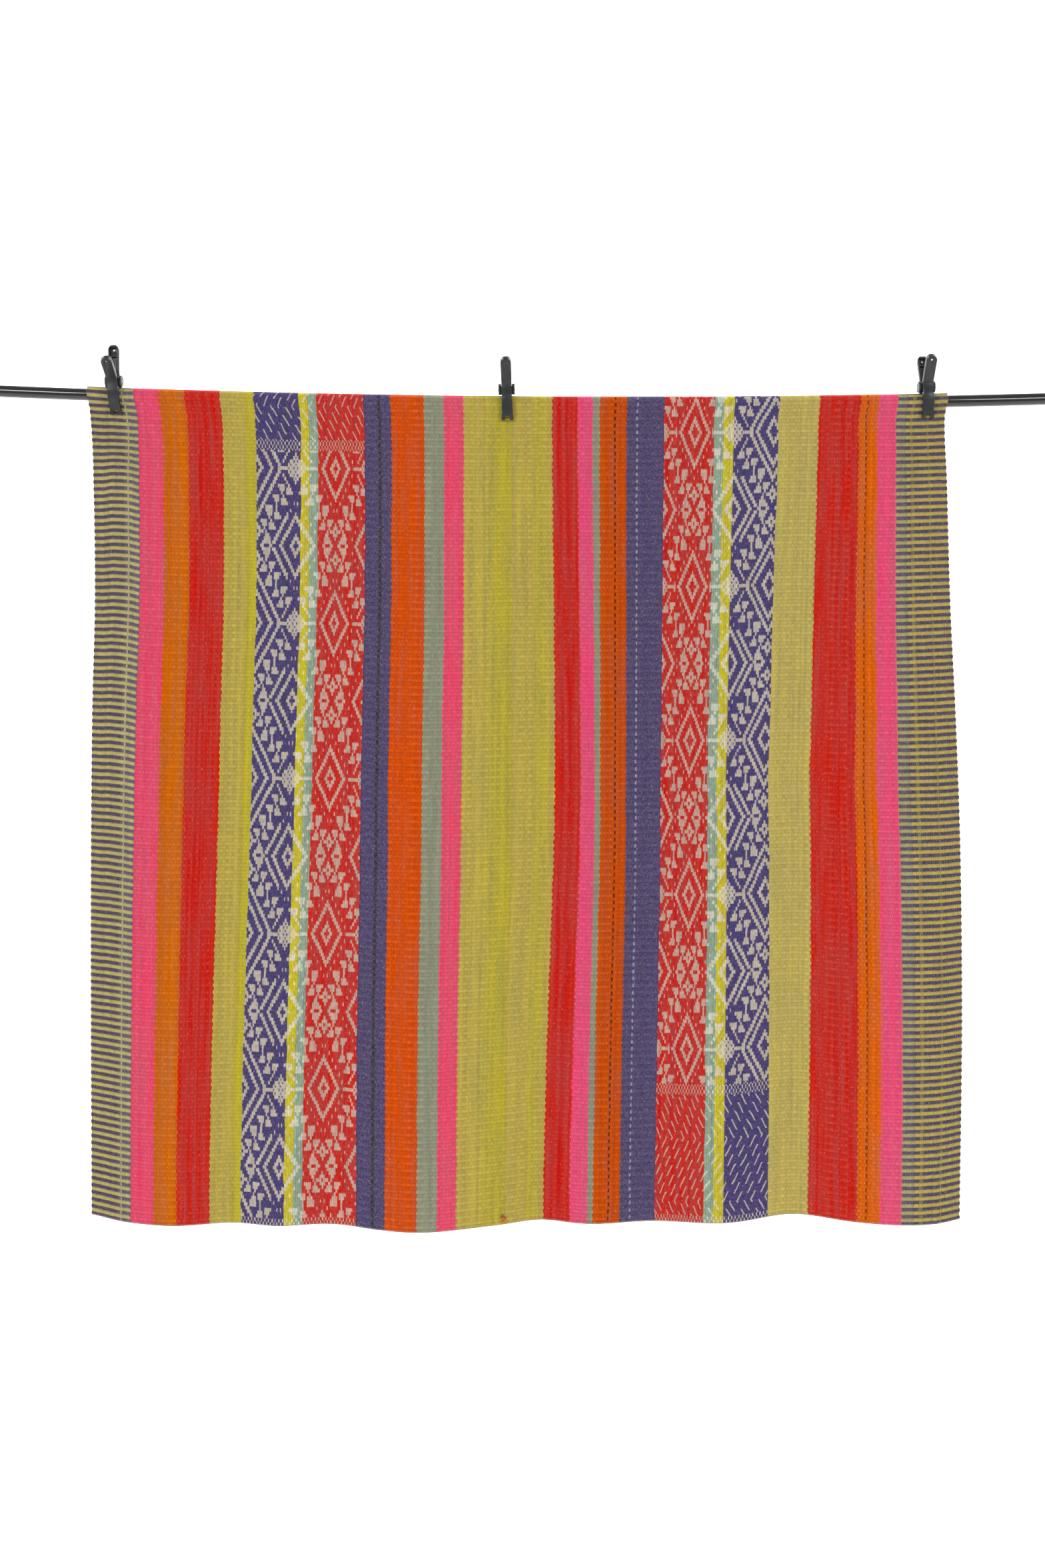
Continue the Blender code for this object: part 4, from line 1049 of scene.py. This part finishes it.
# the mould's spark-eroded skin is a fine grain of about 0.3 mm, drawn at 0.6 mm to show at all,
# and handling has polished the high places
place = add_node(tree, "ShaderNodeTexCoord").outputs["Object"]
grain = add_node(tree, "ShaderNodeTexNoise", {"Vector": place, "Scale": 1600.0, "Detail": 2.0})
polish = add_node(tree, "ShaderNodeTexNoise", {"Vector": place, "Scale": 60.0, "Detail": 3.0})
worn = add_node(
    tree, "ShaderNodeMapRange", {"Value": polish, "From Min": 0.35, "From Max": 0.7,
                                 "To Min": 0.34, "To Max": 0.55},
)
tree.links.new(worn.outputs[0], shader.inputs["Roughness"])
skin = add_node(tree, "ShaderNodeBump", {"Height": grain, "Strength": 0.2, "Distance": 0.00004})
tree.links.new(skin.outputs[0], shader.inputs["Normal"])
dust = add_node(tree, "ShaderNodeTexNoise", {"Vector": place, "Scale": 35.0, "Detail": 5.0})
dusty = add_node(
    tree, "ShaderNodeMix", {0: dust, 6: color("#0F1115"), 7: color("#22262C")}, data_type="RGBA"
)
tree.links.new(dusty.outputs[2], shader.inputs["Base Color"])

steel, tree, shader = new_material(
    "drawn spring steel, nickel plated", {"Base Color": color("#A9A8A4"), "Metallic": 1.0}
)
# die lines run along the wire and soften the shine
place = add_node(tree, "ShaderNodeTexCoord").outputs["Object"]
lines = add_node(tree, "ShaderNodeMapping", {"Vector": place, "Scale": (900.0, 120.0, 120.0)})
drawing = add_node(tree, "ShaderNodeTexNoise", {"Vector": lines, "Scale": 1.0, "Detail": 3.0})
shine = add_node(
    tree, "ShaderNodeMapRange", {"Value": drawing, "To Min": 0.22, "To Max": 0.45}
)
tree.links.new(shine.outputs[0], shader.inputs["Roughness"])

for clamp in ("clamp_left", "clamp_middle", "clamp_right"):
    for lever in ("front_lever", "back_lever"):
        shell = bmesh.new()
        shell.from_mesh(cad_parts[f"{clamp}_{lever}"].data)
        bmesh.ops.remove_doubles(shell, verts=shell.verts, dist=MERGE_WITHIN)
        bmesh.ops.dissolve_limit(
            shell, angle_limit=math.radians(2), verts=shell.verts, edges=shell.edges
        )
        corners = [
            edge for edge in shell.edges
            if edge.is_manifold and edge.calc_face_angle() > math.radians(40)
        ]
        bmesh.ops.bevel(
            shell, geom=corners, offset=LEVER_ROUND, offset_type="OFFSET", segments=2, profile=0.5,
            affect="EDGES", clamp_overlap=True, material=-1,
        )
        mesh = finish_mesh(f"{clamp}_{lever}_moulding", shell)
        mesh.set_sharp_from_angle(angle=math.radians(48))
        moulding = add_piece(f"{clamp}_{lever}_moulding", mesh, nylon)
        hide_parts(f"{clamp}_{lever}")
    for fitting in ("pin", "spring"):
        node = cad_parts[f"{clamp}_{fitting}"]
        node.data.materials.clear()
        node.data.materials.append(steel)


# Studio: a white paper sweep under the rug and far behind it, two soft lights in front of the rug
# and two on the paper, and the camera level at its middle, as the photograph was taken.
SWEEP_FLOOR = -1.95
SWEEP_WIDTH = 12.0
SWEEP_BACK = 4.6
SWEEP_FRONT = -2.6
SWEEP_CURVE = 1.4
SWEEP_TOP = 5.5
SWEEP_STEPS = 12
ROOM_LIGHT = 0.5

paper, tree, shader = new_material(
    "matt white seamless paper", {"Base Color": color("#F7F7F6"), "Roughness": 0.9}
)
shell = bmesh.new()
profile = [(SWEEP_FRONT, SWEEP_FLOOR), (SWEEP_BACK - SWEEP_CURVE, SWEEP_FLOOR)]
for step in range(1, SWEEP_STEPS + 1):
    turn = math.pi / 2 * step / SWEEP_STEPS
    y = SWEEP_BACK - SWEEP_CURVE + SWEEP_CURVE * math.sin(turn)
    profile.append((y, SWEEP_FLOOR + SWEEP_CURVE * (1 - math.cos(turn))))
profile.append((SWEEP_BACK, SWEEP_TOP))
verts = [shell.verts.new((-SWEEP_WIDTH / 2, y, z)) for y, z in profile]
edges = [shell.edges.new(pair) for pair in zip(verts[:-1], verts[1:])]
pulled = bmesh.ops.extrude_edge_only(shell, edges=edges)["geom"]
moved = [item for item in pulled if isinstance(item, bmesh.types.BMVert)]
bmesh.ops.translate(shell, verts=moved, vec=(SWEEP_WIDTH, 0.0, 0.0))
mesh = finish_mesh("paper_sweep", shell)
mesh.materials.append(paper)
sweep = bpy.data.objects.new("paper_sweep", mesh)
bpy.context.scene.collection.objects.link(sweep)

LIGHTS = (
    # name, place, aimed at, width, height, power
    ("key_left", (-2.2, -3.1, 0.9), (0.0, 0.0, -0.6), 1.6, 0.8, 48.0),
    ("key_right", (2.2, -3.1, 0.8), (0.0, 0.0, -0.6), 1.6, 0.8, 36.0),
    ("backdrop_left", (-3.4, 1.4, 3.2), (-0.9, 4.6, -0.6), 2.4, 2.4, 330.0),
    ("backdrop_right", (3.4, 1.4, 3.2), (0.9, 4.6, -0.6), 2.4, 2.4, 330.0),
)
for name, spot, target, width, height, power in LIGHTS:
    light = bpy.data.lights.new(name, "AREA")
    light.shape = "RECTANGLE"
    light.size = width
    light.size_y = height
    light.energy = power
    lamp = bpy.data.objects.new(name, light)
    lamp.location = spot
    lamp.rotation_euler = (Vector(target) - Vector(spot)).to_track_quat("-Z", "Y").to_euler()
    lamp.visible_camera = False
    bpy.context.scene.collection.objects.link(lamp)

world = bpy.data.worlds.new("soft white room")
world.use_nodes = True
room = world.node_tree.nodes["Background"]
room.inputs["Color"].default_value = (1.0, 1.0, 1.0, 1.0)
room.inputs["Strength"].default_value = ROOM_LIGHT
bpy.context.scene.world = world
bpy.context.scene.view_settings.view_transform = "Standard"

CAMERA_PLACE = (0.0, -2.9, -0.6034)
CAMERA_LENS = 41.9
eye = bpy.data.cameras.new("photo_camera")
eye.sensor_fit = "VERTICAL"
eye.sensor_height = 36.0
eye.lens = CAMERA_LENS
camera = bpy.data.objects.new("photo_camera", eye)
camera.location = CAMERA_PLACE
camera.rotation_euler = (math.pi / 2, 0.0, 0.0)
bpy.context.scene.collection.objects.link(camera)
bpy.context.scene.camera = camera
